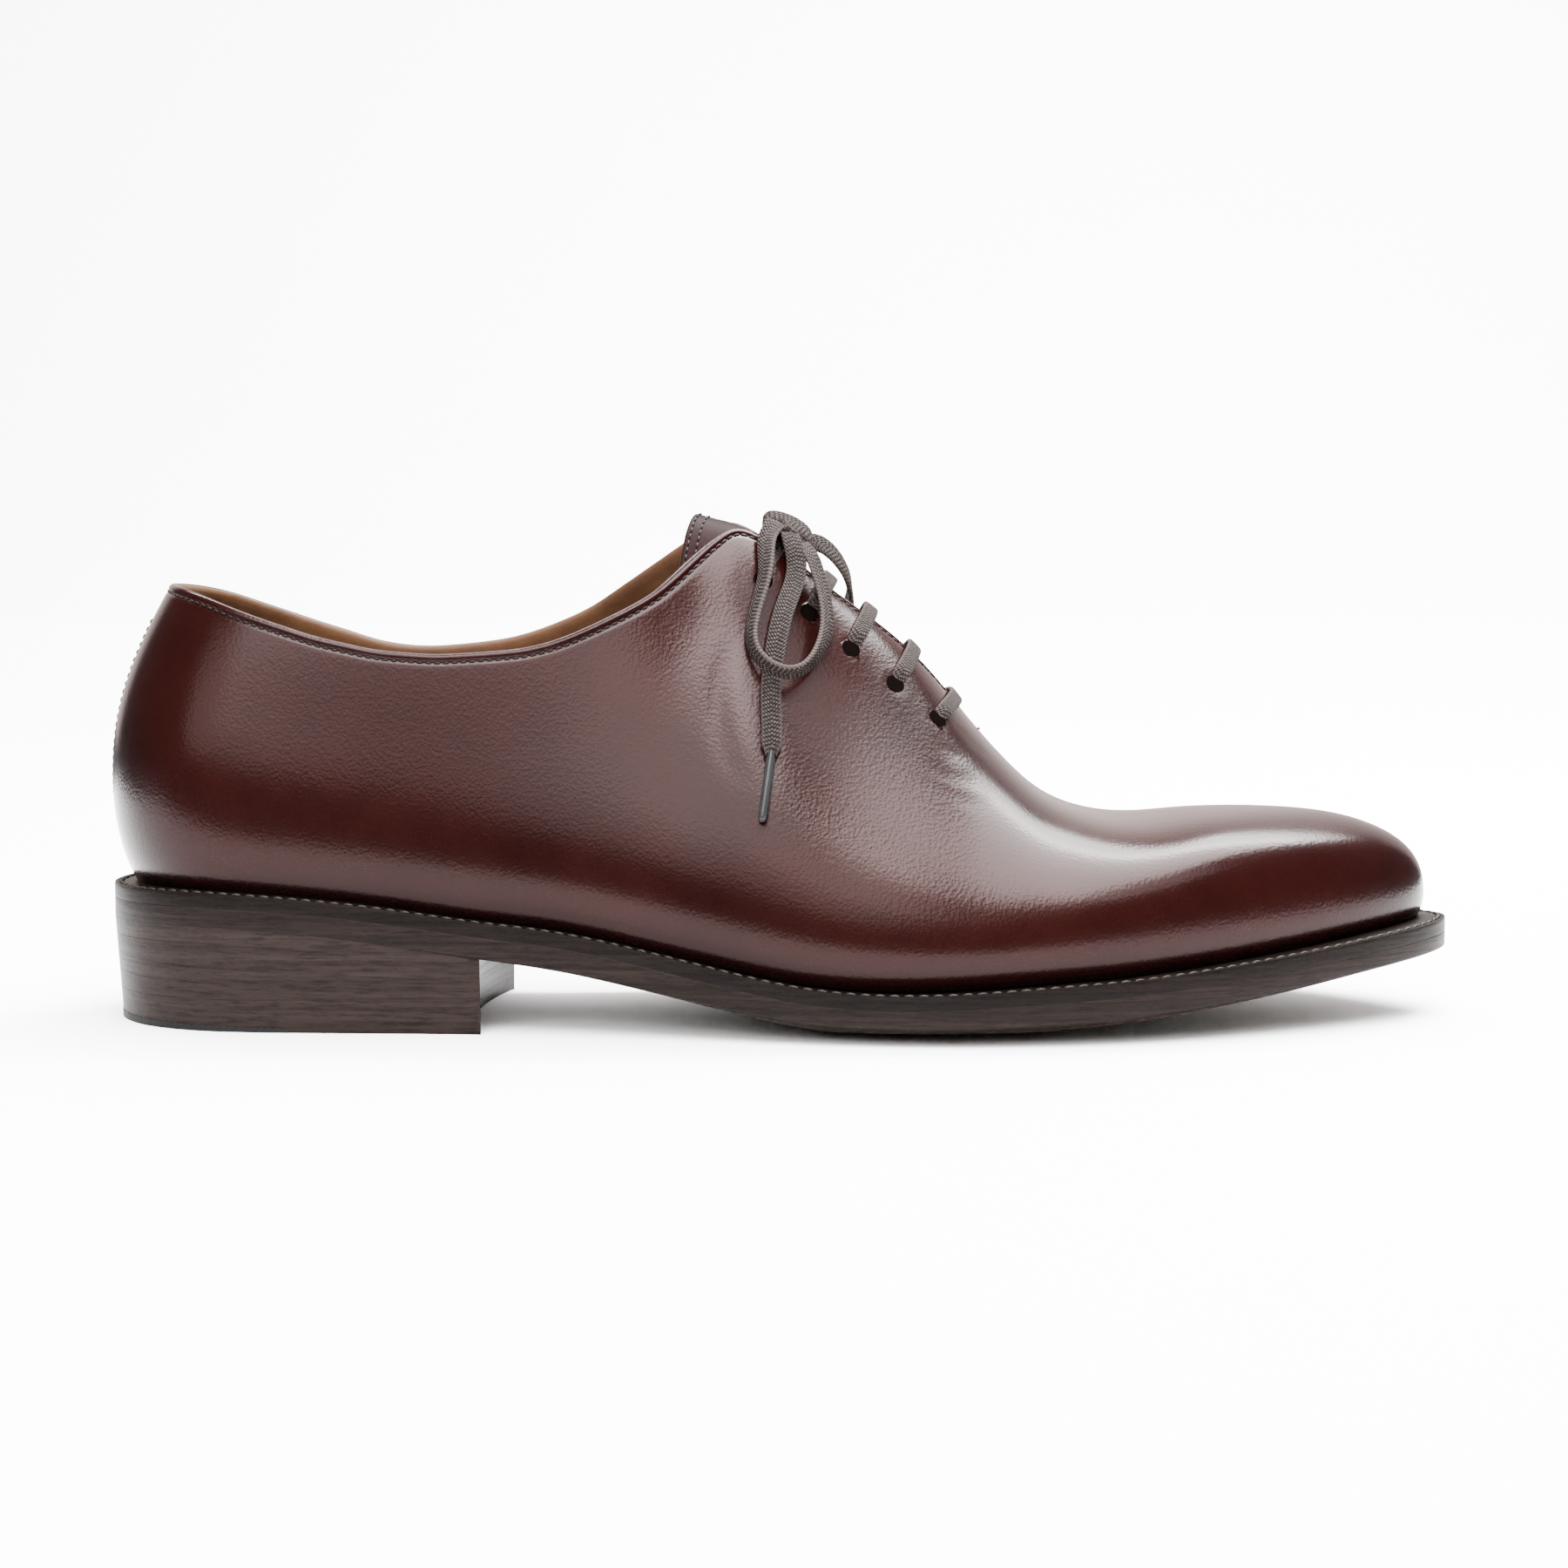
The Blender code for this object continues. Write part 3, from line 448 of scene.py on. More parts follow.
def skin_at(x, out):
    """The point of the last at x and at a distance out from the ridge, lateral if it is negative."""
    points, reach = rib(x, -1 if out < 0 else 1)
    top = int(reach.argmax())
    return blend(abs(out), reach[top:][::-1], points[top:][::-1])[0]


def skin_normal(x, out):
    """The direction out of the last there."""
    along = skin_at(x + 0.6, out) - skin_at(x - 0.6, out)
    across = skin_at(x, out + 0.6) - skin_at(x, out - 0.6)
    return unit(np.cross(along, across))


def out_at_height(x, z, side):
    """How far out from the ridge the last has the height z at x."""
    points, reach = rib(x, side)
    top = int(reach.argmax())
    return side * float(np.interp(z, points[top:, 2], reach[top:]))


def place(points):
    """Points of the tables' frame as metres of the row's frame."""
    return (np.asarray(points, float) - SHIFT) * MM


def unit(v):
    return v / np.maximum(np.linalg.norm(v, axis=-1, keepdims=True), 1e-9)


def bump_at(distance, width):
    return np.exp(-((distance / width) ** 2))


def step_at(value, start, end):
    """Rises softly from 0 at start to 1 at end."""
    t = np.clip((value - start) / (end - start), 0, 1)
    return t * t * (3 - 2 * t)


def new_thing(name, points, faces, materials):
    """A mesh object in the scene, from points in metres."""
    mesh = bpy.data.meshes.new(name)
    mesh.from_pydata(points, [], faces)
    for made in materials:
        mesh.materials.append(made)
    thing = bpy.data.objects.new(name, mesh)
    bpy.context.scene.collection.objects.link(thing)
    return thing


def mesh_piece(name, points, faces, materials, face_slots=None, attributes=None, sharp=None, uv=None):
    """A piece that rides on the shoe, from points in the tables' frame."""
    made = new_thing(name, place(points).tolist(), faces, materials)
    mesh = made.data
    if face_slots is not None:
        mesh.polygons.foreach_set("material_index", np.asarray(face_slots, np.int32))
    for label, values in (attributes or {}).items():
        layer = mesh.attributes.new(label, "FLOAT", "POINT")
        layer.data.foreach_set("value", np.asarray(values, np.float32))
    if uv is not None:
        corners = np.zeros(len(mesh.loops), np.int32)
        mesh.loops.foreach_get("vertex_index", corners)
        layer = mesh.uv_layers.new(name="UVMap")
        layer.data.foreach_set("uv", np.asarray(uv, np.float32)[corners].ravel())
    work = bmesh.new()
    work.from_mesh(mesh)
    bmesh.ops.remove_doubles(work, verts=work.verts, dist=2e-6)
    bmesh.ops.delete(work, geom=[v for v in work.verts if not v.link_faces], context="VERTS")
    bmesh.ops.recalc_face_normals(work, faces=work.faces)
    work.to_mesh(mesh)
    work.free()
    mesh.shade_smooth()
    if sharp:
        mesh.set_sharp_from_angle(angle=math.radians(sharp))
    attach(made, "root")
    return made


def grid_faces(rows, columns, loop_rows=False, loop_columns=False):
    """Quads over a grid of points that are kept row by row."""
    faces = []
    for i in range(rows if loop_rows else rows - 1):
        here, there = i * columns, (i + 1) % rows * columns
        for j in range(columns if loop_columns else columns - 1):
            k = (j + 1) % columns
            faces.append((here + j, there + j, there + k, here + k))
    return faces


def tube_faces(rings, sides, start=0):
    """Faces round a tube whose points are kept ring by ring, and over both its ends."""
    faces = grid_faces(rings, sides, loop_columns=True)
    faces += [tuple(range(sides - 1, -1, -1)), tuple(range(sides * (rings - 1), sides * rings))]
    return [tuple(start + v for v in face) for face in faces]


def circle(sides):
    """The cosine and sine of even turns."""
    turns = [2 * math.pi * k / sides for k in range(sides)]
    return [(math.cos(turn), math.sin(turn)) for turn in turns]


def apply_modifiers(thing):
    graph = bpy.context.evaluated_depsgraph_get()
    made = bpy.data.meshes.new_from_object(thing.evaluated_get(graph), depsgraph=graph)
    thing.modifiers.clear()
    thing.data = made


def cut_away(thing, cutter, material_mode="INDEX"):
    """Takes a solid out of a piece."""
    cut = thing.modifiers.new("cut", "BOOLEAN")
    cut.operation = "DIFFERENCE"
    cut.solver = "EXACT"
    cut.material_mode = material_mode
    cut.object = cutter
    apply_modifiers(thing)


# Materials

def new_material(name, roughness, specular):
    """A material, with its node tree and main shader."""
    made = bpy.data.materials.new(name)
    made.use_nodes = True
    shader = made.node_tree.nodes["Principled BSDF"]
    shader.inputs["Roughness"].default_value = roughness
    shader.inputs["Specular IOR Level"].default_value = specular
    return made, made.node_tree, shader


def dress(tree, shader, colour, normal=None, gloss=None):
    """Joins what was worked out to the main shader."""
    for label, socket in (("Base Color", colour), ("Normal", normal), ("Roughness", gloss)):
        if socket is not None:
            tree.links.new(socket, shader.inputs[label])


def add(tree, kind, inputs=None, **settings):
    """A node with its settings, and its inputs as values or as links from other nodes' sockets."""
    made = tree.nodes.new(kind)
    for key, value in settings.items():
        setattr(made, key, value)
    for key, value in (inputs or {}).items():
        if isinstance(value, bpy.types.NodeSocket):
            tree.links.new(value, made.inputs[key])
        else:
            made.inputs[key].default_value = value
    return made


def ramp(tree, factor, stops):
    """Colours, or greys where a stop is one number, over a factor."""
    made = add(tree, "ShaderNodeValToRGB", {"Fac": factor})
    band = made.color_ramp
    while len(band.elements) < len(stops):
        band.elements.new(0.5)
    for element, (at, colour) in zip(band.elements, stops):
        element.position = at
        element.color = (*colour, 1.0) if isinstance(colour, tuple) else (colour, colour, colour, 1.0)
    return made.outputs["Color"]


def mixed(tree, factor, a, b, way="MIX"):
    """Two colours mixed by a factor."""
    made = add(tree, "ShaderNodeMix", data_type="RGBA", blend_type=way)
    for socket, value in ((made.inputs[0], factor), (made.inputs[6], a), (made.inputs[7], b)):
        if isinstance(value, bpy.types.NodeSocket):
            tree.links.new(value, socket)
        else:
            socket.default_value = (*value, 1.0) if isinstance(value, tuple) else value
    return made.outputs[2]


def times(tree, a, b):
    """Two colours multiplied."""
    return mixed(tree, 1.0, a, b, "MULTIPLY")


def calc(tree, operation, *values):
    """One step of arithmetic."""
    return add(tree, "ShaderNodeMath", dict(enumerate(values)), operation=operation).outputs[0]


def spread(tree, value, start, end, low=0.0, high=1.0):
    """A value from start to end, brought to low to high."""
    inputs = {"Value": value, "From Min": start, "From Max": end, "To Min": low, "To Max": high}
    return add(tree, "ShaderNodeMapRange", inputs).outputs["Result"]


def noise(tree, where, scale, detail=3.0, rough=0.5, stretch=(1, 1, 1)):
    if stretch != (1, 1, 1):
        where = add(tree, "ShaderNodeMapping", {"Vector": where, "Scale": stretch}).outputs["Vector"]
    inputs = {"Vector": where, "Scale": scale, "Detail": detail, "Roughness": rough}
    return add(tree, "ShaderNodeTexNoise", inputs).outputs["Fac"]


def cells(tree, where, scale):
    inputs = {"Vector": where, "Scale": scale}
    return add(tree, "ShaderNodeTexVoronoi", inputs, feature="SMOOTH_F1").outputs["Distance"]


def bump(tree, height, distance, strength=1.0, below=None):
    inputs = {"Height": height, "Distance": distance, "Strength": strength}
    if below is not None:
        inputs["Normal"] = below
    return add(tree, "ShaderNodeBump", inputs).outputs["Normal"]


def where_of(tree):
    return add(tree, "ShaderNodeTexCoord").outputs["Object"]


def calf_material(name, specular, rough):
    """Polished burgundy calf: fine pebble, mottled dye, and darker where the attribute says, which holds dark
    antiquing and painted shade.
    """
    made, tree, shader = new_material(name, rough, specular)
    shader.inputs["Specular Tint"].default_value = (1.0, 0.80, 0.78, 1.0)
    at = where_of(tree)
    broad = noise(tree, at, 24, 4, 0.55)
    fine = noise(tree, at, 150, 4, 0.6)
    colour = ramp(tree, broad, ((0.34, (0.0034, 0.00058, 0.00055)), (0.66, (0.0058, 0.0011, 0.0009))))
    colour = times(tree, colour, ramp(tree, fine, ((0.35, (0.90, 0.88, 0.88)), (0.65, 1.0))))
    # The attribute darkens the colour: dark antiquing at toe and heel, antiquing and painted shade above the
    # welt, darker along the stitch groove, painted shade in the hollows by the lower eyelets and at the
    # throat
    burnish_and_shade = add(tree, "ShaderNodeAttribute", attribute_name="burnish_and_shade").outputs["Fac"]
    colour = mixed(tree, burnish_and_shade, colour, (0.0016, 0.0006, 0.0006))
    pebble = bump(tree, cells(tree, at, 1500), 0.00012, 0.25)
    skin = bump(tree, noise(tree, at, 2600, 2), 0.00005, 0.2, below=pebble)
    dress(tree, shader, colour, skin, spread(tree, fine, 0.0, 1.0, rough - 0.02, rough + 0.02))
    return made


def lining_material(name, dark, light):
    """Vegetable tanned lining leather, matt, with faint pores and wear."""
    made, tree, shader = new_material(name, 0.6, 0.12)
    at = where_of(tree)
    colour = ramp(tree, noise(tree, at, 45, 5, 0.6), ((0.35, dark), (0.68, light)))
    pores = bump(tree, cells(tree, at, 1100), 0.00012, 0.35)
    dress(tree, shader, colour, bump(tree, noise(tree, at, 300, 3), 0.0002, 0.3, below=pores))
    return made


def edge_material(name, dark, light, rough, streak, depth):
    """Waxed cut leather: long fine streaks along the edge, with nicks and pits."""
    made, tree, shader = new_material(name, rough, 0.04)
    at = where_of(tree)
    lines = noise(tree, at, 1.0, 7, 0.6, stretch=(14, 14, streak))
    nicks = noise(tree, at, 1.0, 4, 0.7, stretch=(170, 170, 1.6 * streak))
    pits = noise(tree, at, 700, 3, 0.6)
    colour = ramp(tree, lines, ((0.36, dark), (0.66, light)))
    colour = times(tree, colour, ramp(tree, nicks, ((0.36, 0.5), (0.52, 1.0))))
    worn = bump(tree, nicks, depth, 0.7, below=bump(tree, lines, depth, 0.55))
    worn = bump(tree, pits, 0.00012, 0.5, below=worn)
    dress(tree, shader, colour, worn, spread(tree, lines, 0.0, 1.0, rough + 0.1, rough - 0.06))
    return made


def plain_material(name, dark, light, rough, specular=0.12):
    """One even colour with a slight cloudiness and a faint roughness."""
    made, tree, shader = new_material(name, rough, specular)
    at = where_of(tree)
    colour = ramp(tree, noise(tree, at, 30, 6, 0.62), ((0.35, dark), (0.66, light)))
    dress(tree, shader, colour, bump(tree, noise(tree, at, 420, 4, 0.6), 0.0002, 0.35))
    return made


def thread_material(name, dark, light):
    """Waxed thread with fine strands."""
    made, tree, shader = new_material(name, 0.55, 0.12)
    strands = noise(tree, where_of(tree), 3500, 2)
    colour = ramp(tree, strands, ((0.35, dark), (0.65, light)))
    dress(tree, shader, colour, bump(tree, strands, 0.0001, 0.6))
    return made


def lace_material():
    """Waxed flat cotton lace: a fine herringbone with painted shade in its hollows, and painted highlight on
    its raised threads and along both edges.
    """
    made, tree, shader = new_material("waxed_grey_lace", 0.7, 0.05)
    spot = add(tree, "ShaderNodeTexCoord").outputs["UV"]
    along = add(tree, "ShaderNodeSeparateXYZ", {"Vector": spot})
    across = calc(tree, "ABSOLUTE", along.outputs["Y"])
    slant = calc(tree, "MULTIPLY_ADD", across, 0.6, along.outputs["X"])
    ribs = calc(tree, "SINE", calc(tree, "MULTIPLY", slant, 2 * math.pi / RIB_LONG))
    rows = calc(tree, "COSINE", calc(tree, "MULTIPLY", across, 2 * math.pi / ROW_WIDE))
    weave = spread(tree, calc(tree, "MULTIPLY", ribs, rows), -1.0, 1.0)
    fuzz = noise(tree, where_of(tree), 1300, 3, 0.6)
    # Painted shade and highlight of the weave: darker in its hollows, lighter on its raised threads
    deep, middle, raised = (0.0040, 0.0027, 0.0024), (0.0130, 0.0093, 0.0083), (0.044, 0.034, 0.031)
    threads = ramp(tree, weave, ((0.25, deep), (0.6, middle), (0.9, raised)))
    colour = times(tree, threads, ramp(tree, fuzz, ((0.38, 0.4), (0.62, 1.0))))
    # Painted highlight along both edges of the lace
    colour = mixed(tree, spread(tree, across, EDGE_HIGHLIGHT_FROM, EDGE_HIGHLIGHT_TO), colour, (0.022, 0.0165, 0.015))
    knit = bump(tree, weave, 0.0003, 1.0)
    dress(tree, shader, colour, bump(tree, fuzz, 0.0001, 0.5, below=knit))
    return made


def make_materials():
    look = {
        "calf": calf_material("burgundy_calf", 0.085, 0.22),
        "soft_calf": calf_material("soft_burgundy_calf", 0.02, 0.5),
        "lining": lining_material("tan_lining", (0.030, 0.012, 0.005), (0.055, 0.025, 0.011)),
        "sock": lining_material("sock_leather", (0.028, 0.011, 0.0045), (0.048, 0.021, 0.009)),
        "lace": lace_material(),
    }
    for key, name, dark, light, *how in (
        ("welt", "welt_leather", (0.0012, 0.0006, 0.0005), (0.0036, 0.0021, 0.0018), 0.45, 900, 0.00012),
        ("edge", "waxed_sole_edge", (0.0028, 0.0017, 0.0014), (0.0072, 0.0046, 0.0039), 0.45, 1100, 0.00012),
        ("stack", "stacked_heel_edge", (0.0062, 0.0038, 0.0033), (0.0104, 0.007, 0.006), 0.42, 900, 0.00006),
    ):
        look[key] = edge_material(name, dark, light, *how)
    for key, name, dark, light, *how in (
        ("rubber", "black_rubber", (0.0010, 0.0010, 0.0010), (0.0022, 0.0022, 0.0022), 0.6),
        # Near-black matt colour for the painted shade over the punched holes
        ("hole_shade", "painted_hole_shade", (0.0008, 0.0006, 0.0005), (0.0014, 0.0009, 0.0008), 0.9, 0.0),
        ("tread", "sole_leather", (0.018, 0.010, 0.006), (0.032, 0.019, 0.011), 0.5),
        ("aglet", "dark_aglet_film", (0.006, 0.006, 0.0062), (0.010, 0.010, 0.0105), 0.28),
    ):
        look[key] = plain_material(name, dark, light, *how)
    for key, name, dark, light in (
        ("thread", "burgundy_thread", (0.0016, 0.0007, 0.0007), (0.005, 0.0020, 0.0018)),
        ("dark_thread", "dark_thread", (0.0010, 0.0007, 0.0007), (0.0035, 0.0024, 0.0022)),
        ("welt_thread", "waxed_welt_thread", (0.004, 0.003, 0.0022), (0.014, 0.0105, 0.0076)),
        ("pale_thread", "pale_thread", (0.03, 0.022, 0.019), (0.06, 0.048, 0.042)),
    ):
        look[key] = thread_material(name, dark, light)
    return look


# Upper

def fine_stations():
    """The x of each fine section, close together at the back seam, with one where the slit ends."""
    lateral = EDGE[: TIP + 1]
    run = run_along(lateral)
    at = np.concatenate([[0, 0.35, 0.7, 1.1, 1.6, 2.2, 3.0], np.linspace(4.0, run[-1], 232)])
    xs = np.interp(at, run, lateral[:, 0])
    xs[0], xs[-1] = 0.0, LENGTH
    xs[np.abs(xs - SLIT_END).argmin()] = SLIT_END
    return list(xs)


BACK_RUN = run_along(EDGE[:TIP])


class Skin:
    """The last's whole surface as fine ribs around the shoe, with normals, cut off at collar and slit."""

    def __init__(self):
        xs = fine_stations()
        self.ring = [(x, -1) for x in xs] + [(x, 1) for x in xs[-2:0:-1]]
        whole = [rib(x, side) for x, side in self.ring]
        self.points = np.array([points for points, _ in whole])
        self.out = np.array([out for _, out in whole])
        ahead = np.roll(self.points, -1, axis=0) - np.roll(self.points, 1, axis=0)
        up = np.gradient(self.points, axis=1)
        normal = np.cross(ahead, up)
        flat = np.linalg.norm(normal, axis=2) < 1e-4
        normal[flat] = (0, 0, 1)
        self.normals = unit(normal)
        self.ends = [self.cut_off(i) for i in range(len(self.ring))]

    def cut_off(self, i):
        """Index and share at which rib i meets the collar or the slit, or its last point."""
        x, side = self.ring[i]
        if x >= SLIT_END:
            return len(self.points[i]) - 1, 0.0
        points = self.points[i]
        under = collars[side](points[:, 0]) - points[:, 2]
        room = soft_min(under, self.out[i] - slit_half(points[:, 0]), 3.0)
        end = int(np.argmax(room < 0))
        return end - 1, room[end - 1] / (room[end - 1] - room[end])

    def open_rib(self, i):
        """Points and normals of rib i together, up to its end."""
        both = np.hstack([self.points[i], self.normals[i]])
        last, share = self.ends[i]
        if last == len(both) - 1:
            return both
        return np.vstack([both[: last + 1], both[last] + share * (both[last + 1] - both[last])])


def spot_at(x, z, side=-1):
    """The point of the last at x and at the height z."""
    return skin_at(x, out_at_height(x, z, side))


def distance_to_path(points, path):
    """Distance of each point to a polyline, and where along it the nearest place is, from 0 to 1."""
    best, share = np.full(len(points), 1e9), np.zeros(len(points))
    run = run_along(path)
    for k, along in enumerate(np.diff(path, axis=0)):
        t = np.clip((points - path[k]) @ along / (along @ along), 0, 1)
        far = np.linalg.norm(points - path[k] - t[:, None] * along, axis=1)
        nearer = far < best
        best[nearer] = far[nearer]
        share[nearer] = (run[k] + t[nearer] * (run[k + 1] - run[k])) / run[-1]
    return best, share


def fold_depth(points):
    """How far the folds, wrinkles and eyelets move the leather in (minus) or out at each point."""
    depth = np.zeros(len(points))
    for height, width, spots in FOLDS:
        row = np.array(spots)
        row = resample(row, np.linspace(0, run_along(row)[-1], 24))
        far, share = distance_to_path(points, np.array([spot_at(x, z) for x, z in row]))
        depth += height * bump_at(far, width) * np.sin(np.pi * np.clip(share, 0.02, 0.98)) ** 0.8
    for _, middle, *_ in eyelet_places():
        far = np.linalg.norm(points - middle, axis=1)
        depth += 0.10 * bump_at(far - 2.6, 0.7) - 0.22 * bump_at(far - 1.2, 0.8)
    return depth


def burnish_and_shade_at(points, edge_distance):
    """How dark the leather is made: dark antiquing at toe and heel, antiquing and painted shade along the
    welt where the upper tucks in, darker along the stitch groove, and painted shade in the hollows below the
    lower eyelets and at the throat.
    """
    x, z = points[:, 0], points[:, 2]
    parts = [
        # Dark antiquing, with painted shade where the upper tucks in above the welt
        0.80 * (1 - step_at(z - np.array([welt_top(v) for v in x]), 0.5, 7.0)),
        0.55 * step_at(x, 262, 300),
        0.45 * (1 - step_at(x, 0, 26)),
        0.55 * bump_at(edge_distance - STITCH_IN, 0.35),
    ]
    # Painted shade in the hollows below the lower eyelets and at the throat
    parts += [amount * bump_at(np.hypot(x - at[0], z - at[1]), size) for at, size, amount in SHADE_SPOTS]
    return np.clip(np.max(parts, axis=0), 0, 0.92)


def edge_stretch(skin):
    """How much longer a step along each rib is than a step square to the collar's edge."""
    ribs = [skin.open_rib(i)[:, :3] for i in range(len(skin.ring))]
    tips = np.array([points[-1] for points in ribs])
    below = np.array([resample(points, [run_along(points)[-1] - 1.5])[0] for points in ribs])
    along = unit(np.roll(tips, -1, axis=0) - np.roll(tips, 1, axis=0))
    square = np.linalg.norm(np.cross(along, unit(tips - below)), axis=1)
    x = np.array([x for x, _ in skin.ring])
    stretch = np.where(x < SLIT_END - 4, 1 / np.maximum(square, 0.5), 1.0)
    for _ in range(3):
        stretch = (np.roll(stretch, 1) + 2 * stretch + np.roll(stretch, -1)) / 4
    return stretch


def rim_lift(x, far, total, k):
    """How far the outside is raised: the rolled rim, the groove of its stitches, that of the back seam."""
    fade = 1 - step_at(x, *RIM_FADE)
    rim = fade * (0.16 * bump_at(far / k - 1.1, 0.6) - 0.30 * bump_at(far / k - STITCH_IN, 0.42))
    around = np.interp(min(x, 20.0), EDGE[:TIP, 0], BACK_RUN)
    seam = -0.28 * bump_at(around, 0.5) + 0.10 * bump_at(around - 1.3, 0.6)
    return rim + seam * step_at(total - far, 3.0, 8.0)


def make_upper(skin, stretch, look):
    """The one-piece upper: a rolled edge round the collar and slit, tan lining inside, punched eyelets."""
    count = len(skin.ring)
    hidden = len(EDGE_TURNS) + 3 + INNER_ROWS
    columns = EVEN_ROWS + len(EDGE_ROWS) + hidden
    crest = EVEN_ROWS + len(EDGE_ROWS) + 2
    points, lifts, edge_far = [], [], []
    for i, (x, _) in enumerate(skin.ring):
        line = skin.open_rib(i)
        total = run_along(line[:, :3])[-1]
        k = stretch[i]
        far = np.concatenate([np.linspace(total, EDGE_ROWS[0] * k + 1.0, EVEN_ROWS), np.array(EDGE_ROWS) * k])
        outer = resample(line, total - far)
        raised = rim_lift(x, far, total, k)
        if x < SLIT_END:
            base, normal = outer[-1, :3], unit(outer[-1, 3:])
            middle = base - normal * WALL / 2 + normal * raised[-1]
            reach = line[-1, :3] - base
            bead = [middle + WALL / 2 * math.cos(t) * normal + math.sin(t) * reach for t in EDGE_TURNS]
        else:
            steps = resample(line, total - k * np.array([0.66, 0.33, 0.0]))
            bead = [*steps[:, :3], *(steps[::-1, :3] - WALL * unit(steps[::-1, 3:]))]
        inside = np.concatenate([np.array([1.0, 2.5, 5.0]) * k, np.linspace(9.0 * k, total, INNER_ROWS)])
        inside = resample(line, total - inside)
        points += [outer[:, :3], bead, inside[:, :3] - WALL * unit(inside[:, 3:])]
        lifts += [raised[:, None] * unit(outer[:, 3:]), np.zeros((hidden, 3))]
        edge_far += [far / k if x < SLIT_END else np.full(len(far), 99.0), np.full(hidden, 0.5)]
    points, lifts, edge_far = np.vstack(points), np.vstack(lifts), np.concatenate(edge_far)
    faces, slots = [], []
    for number, face in enumerate(grid_faces(count, columns, loop_rows=True, loop_columns=True)):
        i, j = divmod(number, columns)
        closed = min(skin.ring[i][0], skin.ring[(i + 1) % count][0]) >= SLIT_END
        if j != crest or not closed:
            faces.append(face)
            slots.append(int(crest < j < columns - 1))
    near = (np.arange(len(points)) % columns <= crest) & (points[:, 2] > FOLDS_FROM)
    normals = skin_normals(points, count, columns)
    moved = points + lifts
    moved[near] += fold_depth(points[near])[:, None] * normals[near]
    burnish_and_shade = burnish_and_shade_at(points, edge_far)
    materials = [look["calf"], look["lining"]]
    upper = mesh_piece("upper_leather", moved, faces, materials, slots, {"burnish_and_shade": burnish_and_shade}, sharp=50)
    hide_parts("upper")
    punch_eyelets(upper, look)
    return moved.reshape(count, columns, 3), normals.reshape(count, columns, 3)


def skin_normals(points, count, columns):
    grid = points.reshape(count, columns, 3)
    ahead = np.roll(grid, -1, axis=0) - np.roll(grid, 1, axis=0)
    return unit(np.cross(ahead, np.gradient(grid, axis=1))).reshape(-1, 3)


def eyelet_places():
    """Each eyelet's name, its middle, the direction out of the leather and two directions along it."""
    for number, (x, z) in enumerate(EYELETS, start=1):
        for word, side in (("lateral", -1), ("medial", 1)):
            out = out_at_height(x, z, side)
            up = skin_normal(x, out)
            flat = unit(np.cross(up, (0.0, 1.0, 0.0)))
            yield f"{word}_{number}", skin_at(x, out), up, flat, np.cross(up, flat)


def punch_eyelets(upper, look):
    """Ten round holes, each square to the leather."""
    points, faces = [], []
    turns = circle(20)
    for _, middle, up, flat, other in eyelet_places():
        faces += tube_faces(2, len(turns), len(points))
        for reach in (-6, 4):
            points += [middle + reach * up + EYELET_HOLE / 2 * (a * flat + b * other) for a, b in turns]
    punches = new_thing("punches", place(points).tolist(), faces, [look["soft_calf"]])
    cut_away(upper, punches, "TRANSFER")
    bpy.data.objects.remove(punches, do_unlink=True)
    upper.data.shade_smooth()
    upper.data.set_sharp_from_angle(angle=math.radians(50))


# Stitching

def stitch_row(name, path, normals, pitch, long, wide, lift, material):
    """Short stitches along a path, each a small pad that dips into the leather at both ends."""
    run = run_along(path)
    spots = np.arange(pitch / 2, run[-1] - pitch / 2, pitch)
    shape = ((-0.5, -0.5, 0.35), (-0.36, 0.35, 0.9), (0.0, 0.62, 1.0), (0.36, 0.35, 0.9), (0.5, -0.5, 0.35))
    turns = circle(6)
    points, faces = [], []
    for here, ahead in zip(blend(spots, run, np.hstack([path, normals])), blend(spots + 0.3, run, path)):
        spot, up = here[:3], unit(here[3:])
        along = unit(ahead - spot)
        across = unit(np.cross(up, along))
        faces += tube_faces(len(shape), len(turns), len(points))
        for far, high, size in shape:
            for a, b in turns:
                rise = high * wide * 0.6 + lift + b * wide / 2 * size
                points.append(spot + far * long * along + a * wide / 2 * size * across + rise * up)
    return mesh_piece(name, points, faces, [material])


def make_stitching(skin, grid, normals, look):
    """Rows below the collar and beside the slit, the rows down the back seam, the tack at the slit's end."""
    row = EVEN_ROWS + EDGE_ROWS.index(STITCH_IN)
    reach = max(i for i, (x, side) in enumerate(skin.ring) if side < 0 and x < ROW_END)
    order = [i % len(skin.ring) for i in range(-reach, reach + 1)]
    path, up = grid[order, row], normals[order, row]
    made = stitch_row("topline_stitches", path, up, STITCH_PITCH, 1.6, 0.46, 0.02, look["thread"])
    for word, i in (("lateral", SEAM_RIB), ("medial", len(skin.ring) - SEAM_RIB)):
        path, up = grid[i, SEAM_ROWS], normals[i, SEAM_ROWS]
        made = stitch_row(f"back_seam_{word}", path, up, STITCH_PITCH, 1.5, 0.5, 0.05, look["dark_thread"])
    spots = [(SLIT_END + 0.4 + 0.25 * step, 2.3 * step) for step in np.linspace(-1, 1, 9)]
    path, up = np.array([skin_at(*spot) for spot in spots]), np.array([skin_normal(*spot) for spot in spots])
    made = stitch_row("throat_tack", path, up, TACK_PITCH, 1.5, 0.5, 0.1, look["pale_thread"])


# Tongue, sock and sole

